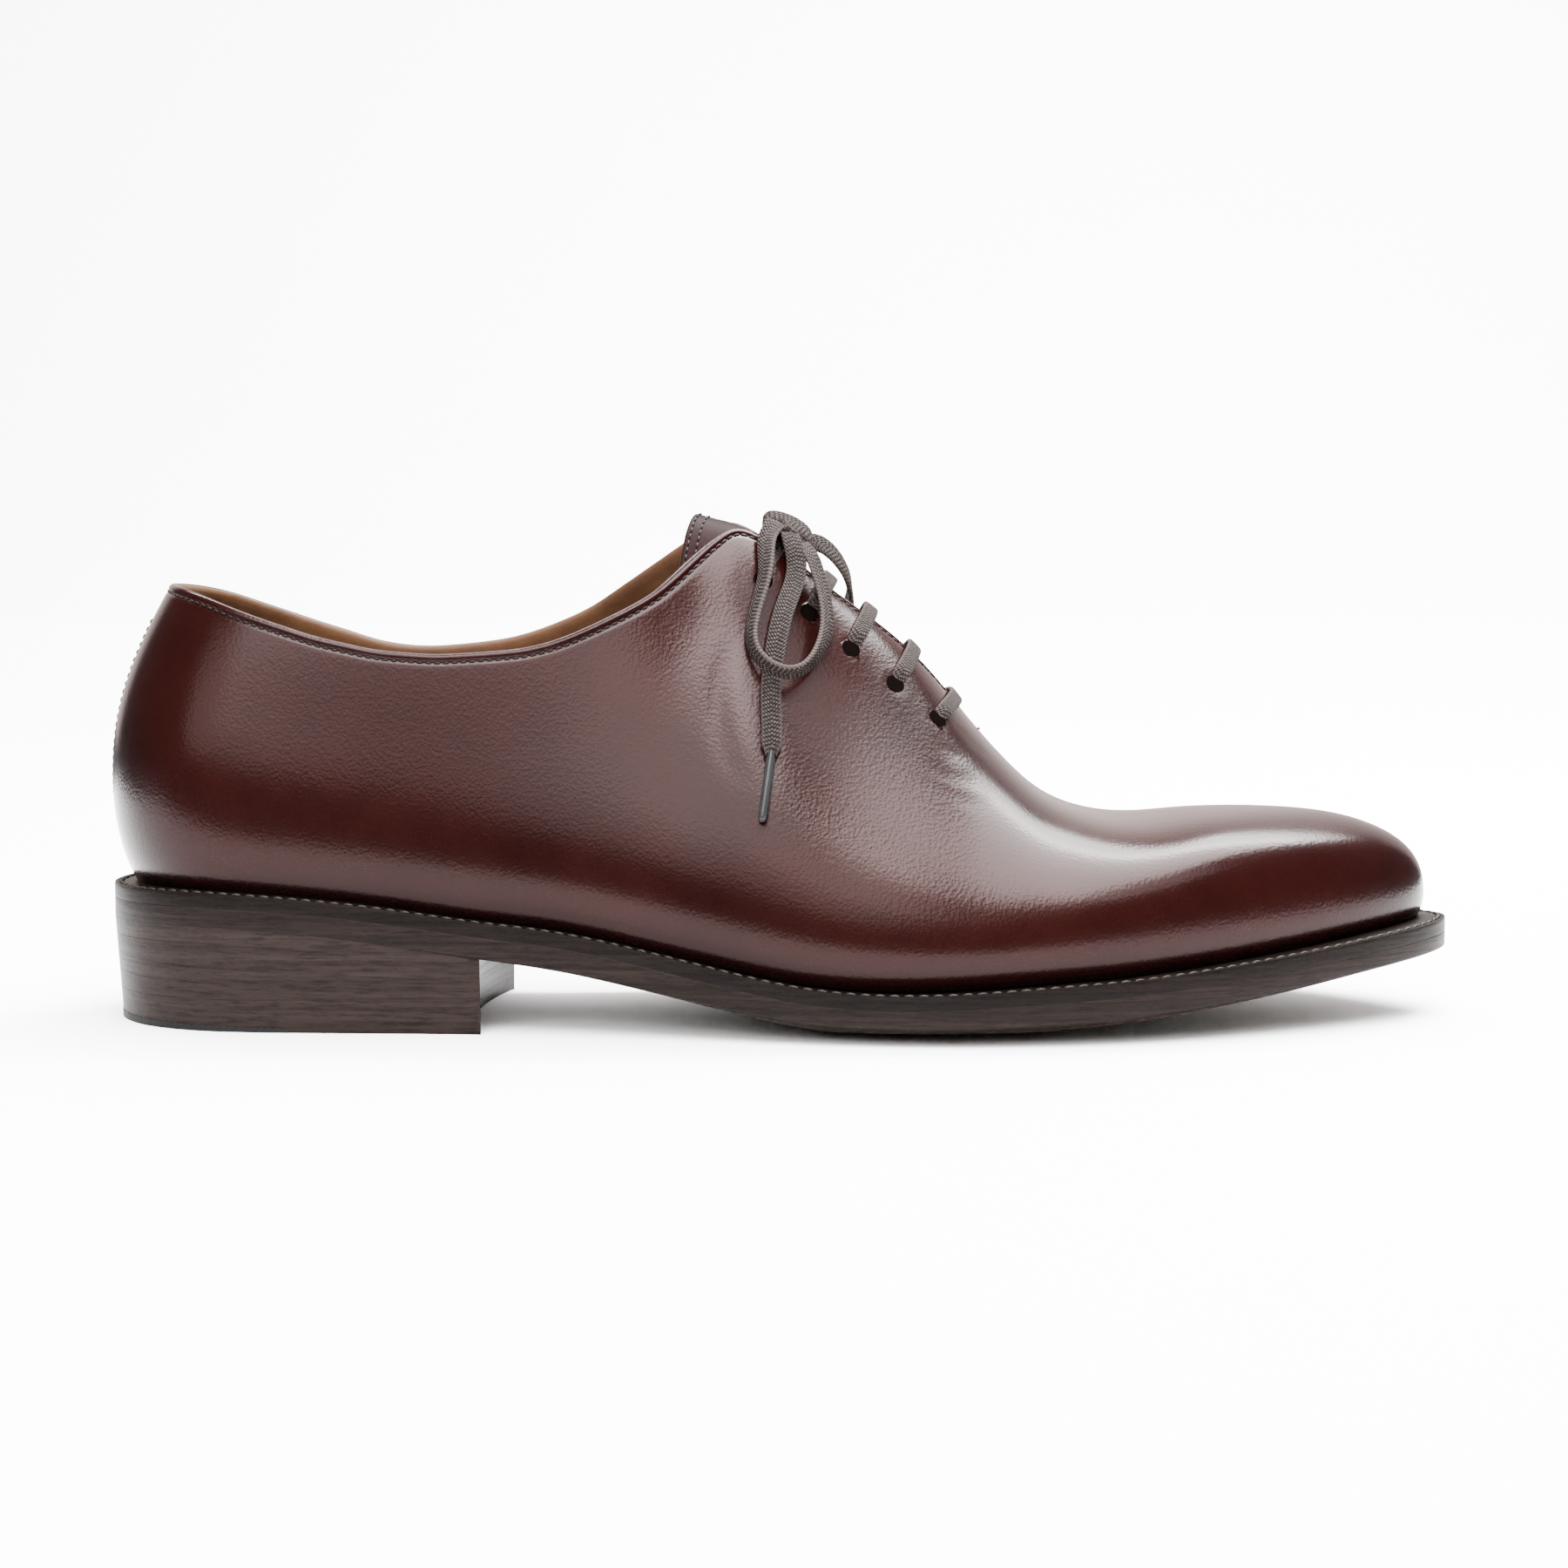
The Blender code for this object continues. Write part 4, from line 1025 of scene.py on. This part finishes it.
def make_tongue(look):
    """A sheet under the facings with a raw slanted top edge and two rows of stitches along it."""
    across = np.linspace(-1, 1, 33)
    rows = 36
    points, ups = [], []
    for i in range(rows):
        for share in across:
            end = TONGUE_TOP - TONGUE_DROP * abs(share) ** 1.3
            x = end + (TONGUE_FRONT - end) * i / (rows - 1)
            narrow = max(0.0, (x - TONGUE_EVEN) / (TONGUE_FRONT - TONGUE_EVEN))
            out = share * (TONGUE_HALF - TONGUE_TAPER * narrow)
            ups.append(skin_normal(x, out))
            points.append(skin_at(x, out) - (WALL + TONGUE_CLEAR) * ups[-1])
    faces = grid_faces(rows, len(across))
    # The whole tongue is darkened a little, evenly
    burnish_and_shade = {"burnish_and_shade": np.full(len(points), 0.15)}
    tongue = mesh_piece("tongue_leather", points, faces, [look["soft_calf"], look["lining"]], None, burnish_and_shade)
    top_up = sum(p.normal.z for p in tongue.data.polygons) > 0
    wall = tongue.modifiers.new("wall", "SOLIDIFY")
    wall.thickness = TONGUE_THICK * MM
    wall.offset = -1 if top_up else 1
    wall.material_offset = 1
    soft = tongue.modifiers.new("soft_edge", "BEVEL")
    soft.width = 0.35 * MM
    soft.segments = 2
    apply_modifiers(tongue)
    tongue.data.shade_smooth()
    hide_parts("tongue")
    grid, up = np.reshape(points, (rows, -1, 3)), np.array(ups[1 : len(across) - 1])
    for word, inward in (("outer", 0.9), ("inner", 2.9)):
        name = f"tongue_stitches_{word}"
        path = np.array([resample(grid[:, j], [inward])[0] for j in range(1, len(across) - 1)])
        made = stitch_row(name, path, up, STITCH_PITCH, 1.5, 0.42, 0.05, look["dark_thread"])


def ring_points():
    """Spots of the sole's edge at an even spacing, and the directions inwards."""
    return EDGE[:-1:10], unit(EDGE_IN[:-1:10])


def make_welt(look):
    """The welt: a crisp upper rim, a channel for its stitches and a rounded side."""
    spots, inward = ring_points()
    points = []
    for spot, turn in zip(spots, inward):
        top = welt_top(spot[0])
        inner = feather_in(spot[0]) + WELT_OVERLAP
        line = ((0.05, -WELT_THICK - GAP), (0.01, -WELT_THICK), (0.0, -1.9), (0.0, -0.9), (0.02, -0.30),
                (0.10, -0.05), (0.32, 0.0), (0.75, -0.02), (1.05, -0.28), (1.55, -0.38), (2.05, -0.28),
                (2.35, -0.08), (inner - 0.3, -0.02), (inner, -0.2), (inner, -WELT_THICK))
        points += [(*(spot + turn * far), top + high) for far, high in line]
    faces = grid_faces(len(spots), len(line), loop_rows=True, loop_columns=True)
    welt = mesh_piece("welt_strip", points, faces, [look["welt"]], sharp=45)
    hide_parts("welt")
    path = np.array([(*(s + t * 1.5), welt_top(s[0]) - 0.32) for s, t in zip(spots, inward)])
    path = np.vstack([path, path[:1]])
    up = np.tile((0.0, 0.0, 1.0), (len(path), 1))
    made = stitch_row("welt_stitches", path, up, WELT_STITCH_PITCH, 2.5, 0.75, 0.0, look["welt_thread"])


def sole_under(x):
    return welt_top(x) - edge_thick(x)


def tread_height(x, share):
    edge = sole_under(x)
    if x <= TREAD[0][0]:
        return edge
    fall = max(0.0, 1 - share / 0.45) ** 2
    return tread_middle(x) + (edge - tread_middle(x)) * fall


def make_sole(look):
    """The leather outsole: waxed edge with softened corners, bare leather underneath."""
    shares = (1.0, 0.8, 0.6, 0.45, 0.38, 0.32, 0.26, 0.2, 0.15, 0.10, 0.06, 0.03)
    rim_under = ((0.9, 0.0), (0.45, 0.04), (0.12, 0.22), (0.0, 0.6))
    rim_top = ((0.0, -0.12), (0.01, -0.03), (0.05, 0.0))
    top_shares = (0.15, 0.5, 1.0)
    spots, inward = ring_points()
    points = []
    for spot, turn in zip(spots, inward):
        x = spot[0]
        centre = spine(x)
        for share in shares:
            flat = spot + (centre - spot) * share
            points.append((*flat, tread_height(flat[0], share)))
        soft = 0.12 + 0.88 * step_at(x, 70, 84)
        points += [(*(spot + turn * far * soft), sole_under(x) + high * soft) for far, high in rim_under]
        points += [(*(spot + turn * far), welt_top(x) - WELT_THICK - GAP + high) for far, high in rim_top]
        for share in top_shares:
            flat = spot + (centre - spot) * share
            points.append((*flat, welt_top(flat[0]) - WELT_THICK - GAP))
    size = len(shares + rim_under + rim_top + top_shares)
    faces = grid_faces(len(spots), size, loop_rows=True)
    slots = [int(j < len(shares) - 3) for _ in spots for j in range(size - 1)]
    sole = mesh_piece("leather_sole", points, faces, [look["edge"], look["tread"]], slots, sharp=60)
    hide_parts("outsole")


def make_sock(look):
    """The footbed's leather sock, slightly dished, with a soft rim."""
    spots, inward = ring_points()
    shares = (0.02, 0.05, 0.12, 0.3, 0.6, 1.0)
    points = []
    for spot, turn in zip(spots, inward):
        x = spot[0]
        rim = spot + turn * (feather_in(x) + INSOLE_CLEAR)
        centre = spine(x)
        points += [(*centre, welt_top(centre[0]) - WELT_THICK), (*rim, welt_top(rim[0]) - WELT_THICK),
                   (*rim, welt_top(rim[0]) + INSOLE_RISE - 0.5)]
        for share in shares:
            flat = rim + share * (centre - rim)
            dish = 0.9 * math.sin(math.pi / 2 * share) * step_at(share, 0.05, 0.6)
            points.append((*flat, welt_top(flat[0]) + INSOLE_RISE - dish))
    faces = grid_faces(len(spots), len(shares) + 3, loop_rows=True)
    sock = mesh_piece("sock_lining", points, faces, [look["sock"]], sharp=50)
    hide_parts("insole")


# Heel

def heel_rim(level, count=74, face=17):
    """The heel's rim at a height function: round the back from breast to breast, then the hollow face."""
    edges = []
    for side, breast in ((-1, BREAST_LATERAL), (1, BREAST_MEDIAL)):
        line, turns = EDGE[edge_half(side)], EDGE_IN[edge_half(side)]
        run = run_along(line)
        at = np.linspace(0, np.interp(breast, line[:, 0], run), count)
        spots = blend(at, run, line)
        taper = np.array([HEEL_TAPER * max(0.0, 1 - level(x) / sole_under(0)) for x in spots[:, 0]])
        edges.append(spots + unit(blend(at, run, turns)) * taper[:, None])
    rim = [*edges[0][::-1], *edges[1][1:]]
    start, end = rim[-1], rim[0]
    for share in np.linspace(0, 1, face)[1:-1]:
        flat = start + (end - start) * share
        rim.append(flat - (BREAST_HOLLOW * (1 - (2 * share - 1) ** 2), 0))
    return np.array(rim)


def pull_in(rim, amount):
    """A closed rim moved inwards by a small amount."""
    ahead = np.roll(rim, -1, axis=0) - np.roll(rim, 1, axis=0)
    inward = unit(np.column_stack([ahead[:, 1], -ahead[:, 0]]))
    middle = rim.mean(axis=0)
    if np.sum(inward * (middle - rim)) < 0:
        inward = -inward
    return rim + inward * amount


def heel_layer(name, top, bottom, material, corner, node):
    """One layer of the heel between two heights, with its corners softened by a small amount."""
    points = []
    for level, lift, inset in ((top, 0, corner), (top, -corner, 0), (bottom, corner, 0), (bottom, 0, corner)):
        rim = pull_in(heel_rim(level), inset)
        points += [(x, y, level(x) + lift) for x, y in rim]
    size = len(rim)
    faces = grid_faces(4, size, loop_columns=True)
    faces += [tuple(range(size)), tuple(range(4 * size - 1, 3 * size - 1, -1))]
    layer = mesh_piece(name, points, faces, [material], sharp=35)
    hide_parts(node)
    return layer


def heel_corner():
    """The wedge that takes the medial front corner off the lower layers."""
    (x, y), _ = edge_point(BREAST_MEDIAL, 1)
    points = []
    for z in (-2.0, NOTCH_TOP):
        leg = NOTCH * (1 - z / NOTCH_TOP) + CORNER_OUT
        points.append((x - leg, y + CORNER_OUT - HEEL_TAPER, z))
        points.append((x + CORNER_OUT, y - leg - HEEL_TAPER, z))
        points.append((x + CORNER_FAR, y + CORNER_FAR, z))
    faces = [(0, 1, 2), (5, 4, 3), (0, 3, 4, 1), (1, 4, 5, 2), (2, 5, 3, 0)]
    return new_thing("corner", place(points).tolist(), faces, [])


def make_heel(look):
    """Four stacked lifts and the top piece, with the medial front corner taken off."""
    seams = [lambda x, back=back, fall=fall: back - fall * x / BREAST_LATERAL for back, fall in LIFT_SEAMS]
    first = lambda x: sole_under(x) - GAP - FIRST_LIFT
    levels = (sole_under, first, *seams, lambda x: TOP_PIECE, lambda x: 0.0)
    wedge = heel_corner()
    for i in range(5):
        low = i == 4
        top = levels[i] if i == 0 else lambda x, f=levels[i]: f(x) - 0.03
        name = "heel_top_layer" if low else f"heel_layer_{i + 1}"
        node = "heel_top_piece" if low else f"heel_lift_{i + 1}"
        layer = heel_layer(name, top, levels[i + 1], look["stack"], 0.03, node)
        if i > 1:
            cut_away(layer, wedge)
    bpy.data.objects.remove(wedge, do_unlink=True)
    make_rubber_tip(look)


def make_rubber_tip(look):
    """The rubber let into the back of the top piece, with a saw-toothed upper edge."""
    rim = heel_rim(lambda x: 0.0, count=200, face=3)
    back = rim[np.abs(rim[:, 0]) < RUBBER_REACH]
    line = resample(back, np.arange(0, run_along(back)[-1], TOOTH))
    ahead = np.gradient(line, axis=0)
    outward = unit(np.column_stack([-ahead[:, 1], ahead[:, 0]]))
    if np.sum(outward * (line - line.mean(axis=0))) < 0:
        outward = -outward
    points = []
    for k, (spot, turn) in enumerate(zip(line, outward)):
        share = abs(2 * k / (len(line) - 1) - 1)
        high = 0.7 + 0.7 * (1 - share**2) + (0.4 if k % 2 else 0.0)
        for far, z in ((0.2, 0.0), (0.2, high), (-1.5, high), (-1.5, 0.0)):
            points.append((*(spot + turn * far), z))
    made = mesh_piece("rubber_tip", points, tube_faces(len(line), 4), [look["rubber"]], sharp=30)


# Laces

def smooth_route(points, count):
    """A smooth curve through a few points, with even steps."""
    run = run_along(np.array(points, float))
    return curve(np.linspace(0, run[-1], count), run, points)


def flat_lace(name, path, faces_to, wide, thick, material, closed=False):
    """A flat woven lace along a path, its broad side towards the given directions."""
    profile = ((-1, -0.25), (-0.93, -0.75), (-0.75, -1), (-0.3, -1.06),
               (0.3, -1.06), (0.75, -1), (0.93, -0.75), (1, -0.25))
    profile += tuple((broad, -deep) for broad, deep in profile[::-1])
    path = np.array(path)
    ahead = np.gradient(path, axis=0)
    if closed:
        ahead = np.roll(path, -1, axis=0) - np.roll(path, 1, axis=0)
    wide = np.broadcast_to(wide, len(path))
    thick = np.broadcast_to(thick, len(path))
    run = run_along(path)
    points, uv = [], []
    for k, (spot, face, front) in enumerate(zip(path, faces_to, ahead)):
        across = unit(np.cross(face, front))
        up = unit(np.cross(front, across))
        for broad, deep in profile:
            points.append(spot + broad * wide[k] / 2 * across + deep * thick[k] / 2 * up)
            uv.append((run[k], broad * LACE_WIDE / 2))
    if closed:
        faces = grid_faces(len(path), len(profile), loop_rows=True, loop_columns=True)
    else:
        faces = tube_faces(len(path), len(profile))
    return mesh_piece(name, points, faces, [material], uv=uv)


def make_eyelets(look):
    """A near-black disc with a low rim over each punched hole, just proud of the leather: painted shade of
    the hole.
    """
    turns = circle(24)
    sides = len(turns)
    faces = [(0, 1 + k, 1 + (k + 1) % sides) for k in range(sides)]
    faces += [tuple(1 + v for v in face) for face in grid_faces(3, sides, loop_columns=True)]
    for name, middle, up, flat, other in eyelet_places():
        points = [middle + 0.06 * up]
        for radius, high in ((0.7, 0.08), (0.95, 0.10), (1.0, -0.5)):
            points += [middle + radius * EYELET_RIM * (a * flat + b * other) + high * up for a, b in turns]
        made = mesh_piece(f"eyelet_{name}", points, faces, [look["hole_shade"]], sharp=40)


def make_bars(look):
    """The straight bars: out of one eyelet, over both facings and the slit, and into the other."""
    lift = BAR_LIFT + LACE_THICK / 2
    shares = np.linspace(0, 1, 41)
    for number, (x, z) in enumerate(EYELETS[1:], start=2):
        left, right = out_at_height(x, z, -1) + 0.1, out_at_height(x, z, 1) - 0.1
        sinks = 1 - step_at(np.minimum(shares, 1 - shares) * (right - left), 0.0, BAR_DIP_LONG)
        path, ups = [], []
        for share, sink in zip(shares, sinks):
            spot = x + BAR_BOW * 4 * share * (1 - share), left + (right - left) * share
            ups.append(skin_normal(*spot))
            path.append(skin_at(*spot) + (lift - BAR_DIP * sink) * ups[-1])
        wides, thicks = LACE_WIDE - BAR_PINCH * sinks, LACE_THICK + BAR_SWELL * sinks
        made = flat_lace(f"lace_{number}", path, ups, wides, thicks, look["lace"])
        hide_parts(f"lace_bar_{number}")


# Each route's broad side faces these directions, one for each of its points
FACES_LOOP_LATERAL = (
    (0.2, -0.5, 0.8), (-0.2, -0.8, 0.6), (-0.7, -0.7, 0.1), (-0.8, -0.6, 0), (-0.6, -0.6, -0.5),
    (0.1, -0.6, -0.8), (0.7, -0.6, -0.4), (0.8, -0.6, 0.1), (0.8, -0.6, 0.2), (0.7, -0.7, 0.3),
    (0.5, -0.7, 0.5),
)
FACES_LOOP_MEDIAL = (
    (0.2, 0.5, 0.8), (-0.2, 0.8, 0.6), (-0.6, 0.7, 0.3), (-0.8, 0.6, 0), (-0.7, 0.6, -0.4),
    (0.0, 0.6, -0.8), (0.7, 0.6, -0.4), (0.85, 0.4, 0.3), (0.9, 0.0, 0.0), (0.7, -0.5, 0.4),
    (0.5, -0.75, 0.4), (0.4, -0.8, 0.45),
)
FACES_END_LATERAL = (
    (0.3, -0.4, 0.8), (0.2, -0.8, 0.5), (0.0, -0.9, 0.3), (0.0, -0.92, 0.35), (0.0, -0.92, 0.35),
    (0.0, -0.93, 0.3), (0.0, -0.95, 0.25), (0.0, -0.95, 0.25),
)
FACES_END_MEDIAL = tuple((x, -y, z) for x, y, z in FACES_END_LATERAL)


def make_aglet(word, end, aim, look):
    """A wrapped film tip with a rolled seam and a pinched end."""
    ahead = unit(np.subtract(end[-1], end[-2]))
    start = np.array(end[-1]) + (GAP + 0.05) * ahead
    along = unit(np.subtract(aim, start))
    across = unit(np.cross(along, (1.0, 0.0, 0.0)))
    up = np.cross(across, along)
    rings = ((-1.2, 0.86), (0.0, 0.9), (0.05, 1.0), (0.5, 1.02), (6.0, 1.0), (12.5, 0.97), (13.9, 0.9),
             (14.3, 0.72), (AGLET_LONG, 0.35))
    turns = circle(18)
    points = []
    for far, size in rings:
        for k, (a, b) in enumerate(turns):
            radius = AGLET_WIDE / 2 * size * (1.08 if k == 4 else 1.0)
            points.append(start + far * along + radius * (a * across + 0.82 * b * up))
    faces = tube_faces(len(rings), len(turns))
    made = mesh_piece(f"lace_tip_{word}", points, faces, [look["aglet"]], sharp=50)
    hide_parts(f"aglet_{word}")
    return made


def declare(path):
    """Works out the length of a lace's path in metres, and keeps nothing."""
    where = place(path)
    length = float(run_along(where)[-1])


def make_bow(look):
    """Two loops and two ends of flat lace, with their tips."""
    for word, loop, end, aim, loop_faces, end_faces in (
        ("lateral", LOOP_LATERAL, END_LATERAL, AGLET_AIM_LATERAL, FACES_LOOP_LATERAL, FACES_END_LATERAL),
        ("medial", LOOP_MEDIAL, END_MEDIAL, AGLET_AIM_MEDIAL, FACES_LOOP_MEDIAL, FACES_END_MEDIAL),
    ):
        path, faces_to = np.hsplit(smooth_route(np.hstack([loop, loop_faces]), 72), 2)
        made = flat_lace(f"bow_loop_{word}", path, faces_to, BOW_WIDE, LACE_THICK, look["lace"])
        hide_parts(f"lace_loop_{word}")
        declare(path[::3])
        path, faces_to = np.hsplit(smooth_route(np.hstack([end, end_faces]), 48), 2)
        run = run_along(path)
        wides = BOW_WIDE - 2.0 * step_at(run, run[-1] - 3.0, run[-1])
        made = flat_lace(f"bow_end_{word}", path, faces_to, wides, LACE_THICK, look["lace"])
        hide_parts(f"lace_end_{word}")
        tip = make_aglet(word, end, aim, look)
        declare(path[::2])


def wrap(name, centre, lean, long, high, wide, thick, look):
    """One turn of lace round the knot, leaning from the level by an angle."""
    axis = np.array([0.0, math.cos(lean), math.sin(lean)])
    up = np.array([0.0, -math.sin(lean), math.cos(lean)])
    tilt = np.array([math.cos(KNOT_TURN / 2), 0.0, -math.sin(KNOT_TURN / 2)])
    ring, out = [], []
    for t in np.linspace(0, 2 * math.pi, 64, endpoint=False):
        flat = abs(math.sin(t)) ** 0.8 * (1 if math.sin(t) > 0 else -1)
        ring.append(centre + long * math.cos(t) * tilt + high * flat * up)
        out.append(math.cos(t) / long * tilt + math.sin(t) / high * up)
    out = np.array([unit(v - (v @ axis) * axis) for v in out])
    return flat_lace(name, ring, out, wide, thick, look["lace"], closed=True)


def make_knot(look):
    """The tied knot: turns of lace round the crossing strands, and the strands up from the top eyelets."""
    centre = np.array(KNOT_PLACE)
    bands = [
        wrap("tied_knot", centre + (-0.2, -0.4, 0.2), math.radians(38), 5.3, 2.9, 5.0, 1.5, look),
        wrap("knot_turn", centre + (0.2, 1.6, 0.3), math.radians(-20), 4.6, 2.5, 4.4, 1.4, look),
    ]
    for name, route, faces_to in (
        ("knot_upper", (LOOP_LATERAL[0], (151.2, -4.0, 110.6), (151.6, -0.6, 110.9), (151.2, 3.0, 110.8),
                        LOOP_MEDIAL[0]), (0.2, 0.0, 1.0)),
        ("knot_middle", (END_LATERAL[0], (153.0, -4.0, 109.2), (153.0, -0.6, 109.0), (153.0, 3.4, 109.2),
                         END_MEDIAL[0]), (0.6, 0.0, 0.8)),
        ("knot_lower", (LOOP_LATERAL[-1], (155.6, -4.0, 106.2), (155.6, -0.6, 106.2), (155.6, 3.2, 106.2),
                        LOOP_MEDIAL[-1]), (0.8, 0.0, 0.6)),
    ):
        path = smooth_route(route, 20)
        bands.append(flat_lace(name, path, np.tile(faces_to, (20, 1)), 4.2, 2.3, look["lace"]))
    x, z = EYELETS[0]
    for word, side in (("lateral", -1), ("medial", 1)):
        out = out_at_height(x, z, side)
        spot, up = skin_at(x, out), skin_normal(x, out)
        route = (spot - 2.2 * up, spot + 0.4 * up, spot + (0.3, -side * 1.6, 2.6) + 1.0 * up,
                 (149.6, side * 8.6 - 0.6, 104.2), (151.0, side * 5.0 - 0.6, 106.4),
                 (152.5, side * 1.0 - 0.6, 106.8))
        wides = 2.5 + 1.3 * step_at(np.arange(30), 2, 12)
        ups = np.tile(up, (30, 1))
        bands.append(flat_lace(f"knot_strand_{word}", smooth_route(route, 30), ups, wides, 1.3, look["lace"]))
    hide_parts("lace_knot")


# Studio

def make_camera():
    lens = bpy.data.cameras.new("camera")
    lens.lens = CAMERA_LENS
    lens.sensor_width = 36.0
    lens.clip_start, lens.clip_end = 0.01, 50.0
    camera = bpy.data.objects.new("camera", lens)
    camera.location = place(CAMERA_PLACE)
    camera.rotation_euler = (math.pi / 2 - CAMERA_DOWN, 0.0, 0.0)
    bpy.context.scene.collection.objects.link(camera)
    bpy.context.scene.camera = camera


def make_light(name, spot, aim, size, power, turn=0.0, tone=(1.0, 1.0, 1.0)):
    light = bpy.data.lights.new(name, "AREA")
    light.color = tone
    light.shape = "RECTANGLE"
    light.size, light.size_y = size
    light.energy = power
    made = bpy.data.objects.new(name, light)
    made.location = spot
    facing = (Vector(aim) - Vector(spot)).to_track_quat("-Z", "Y")
    made.rotation_euler = (facing @ Quaternion((0.0, 0.0, 1.0), math.radians(turn))).to_euler()
    made.visible_camera = False
    bpy.context.scene.collection.objects.link(made)


def make_studio():
    """A white floor and sweep, a long softbox overhead, smaller ones around it, and a light on the sweep."""
    made, tree, shader = new_material("white_sweep", 0.9, 0.0)
    dress(tree, shader, ramp(tree, noise(tree, where_of(tree), 3), ((0.3, 0.72), (0.7, 0.73))))
    across = (-SWEEP_HALF, -FLOOR_HALF, FLOOR_HALF, SWEEP_HALF)
    profile = [(-SWEEP_FRONT, 0.0), (-FLOOR_FRONT, 0.0), (FLOOR_BACK, 0.0), (SWEEP_BACK, 0.0)]
    for t in np.linspace(0.1, math.pi / 2, 12):
        profile.append((SWEEP_BACK + SWEEP_ROUND * math.sin(t), SWEEP_ROUND - SWEEP_ROUND * math.cos(t)))
    profile.append((SWEEP_BACK + SWEEP_ROUND, SWEEP_TOP))
    points = [(x, y, z) for y, z in profile for x in across]
    faces = grid_faces(len(profile), len(across))
    middle = faces.index((5, 9, 10, 6))
    rest = faces[:middle] + faces[middle + 1 :]
    for name, chosen in (("white_floor", [faces[middle]]), ("white_sweep", rest)):
        stage = new_thing(name, points, chosen, [made])
        stage.data.shade_smooth()
        stage.visible_glossy = name == "white_floor"
    world = bpy.data.worlds.new("room")
    world.use_nodes = True
    bpy.context.scene.world = world
    world.node_tree.nodes["Background"].inputs["Color"].default_value = (0.95, 0.97, 1.0, 1.0)
    world.node_tree.nodes["Background"].inputs["Strength"].default_value = 0.25
    make_light("top_softbox", (0.27, -0.11, 1.15), (0.27, -0.12, 0.0), (0.72, 2.15), 290, turn=-24)
    make_light("left_softbox", (-0.25, -0.93, 0.80), (0.0, -0.05, 0.08), (0.8, 0.55), 26)
    make_light("right_softbox", (0.585, -0.58, 0.985), (0.0, -0.05, 0.08), (0.5, 0.22), 4.8)
    make_light("back_softbox", (-0.35, 0.60, 1.15), (0.0, 0.0, 0.05), (1.2, 0.5), 20, tone=(1.0, 0.86, 0.82))
    make_light("low_card", (-0.49, -1.0, 0.49), (0.0, 0.0, 0.05), (1.05, 0.3), 9.5)
    make_light("back_card", (0.0, 1.1, 0.45), (0.0, 0.0, 0.05), (2.6, 0.9), 17, tone=(1.0, 0.82, 0.78))
    make_light("sweep_light", (0.0, 0.7, 1.7), (0.0, 1.6, 0.5), (2.4, 0.5), 330)


def main():
    make_camera()
    look = make_materials()
    make_bow(look)
    make_knot(look)
    make_eyelets(look)
    make_bars(look)
    skin = Skin()
    grid, normals = make_upper(skin, edge_stretch(skin), look)
    make_stitching(skin, grid, normals, look)
    make_tongue(look)
    make_sock(look)
    make_welt(look)
    make_sole(look)
    make_heel(look)
    make_studio()


main()
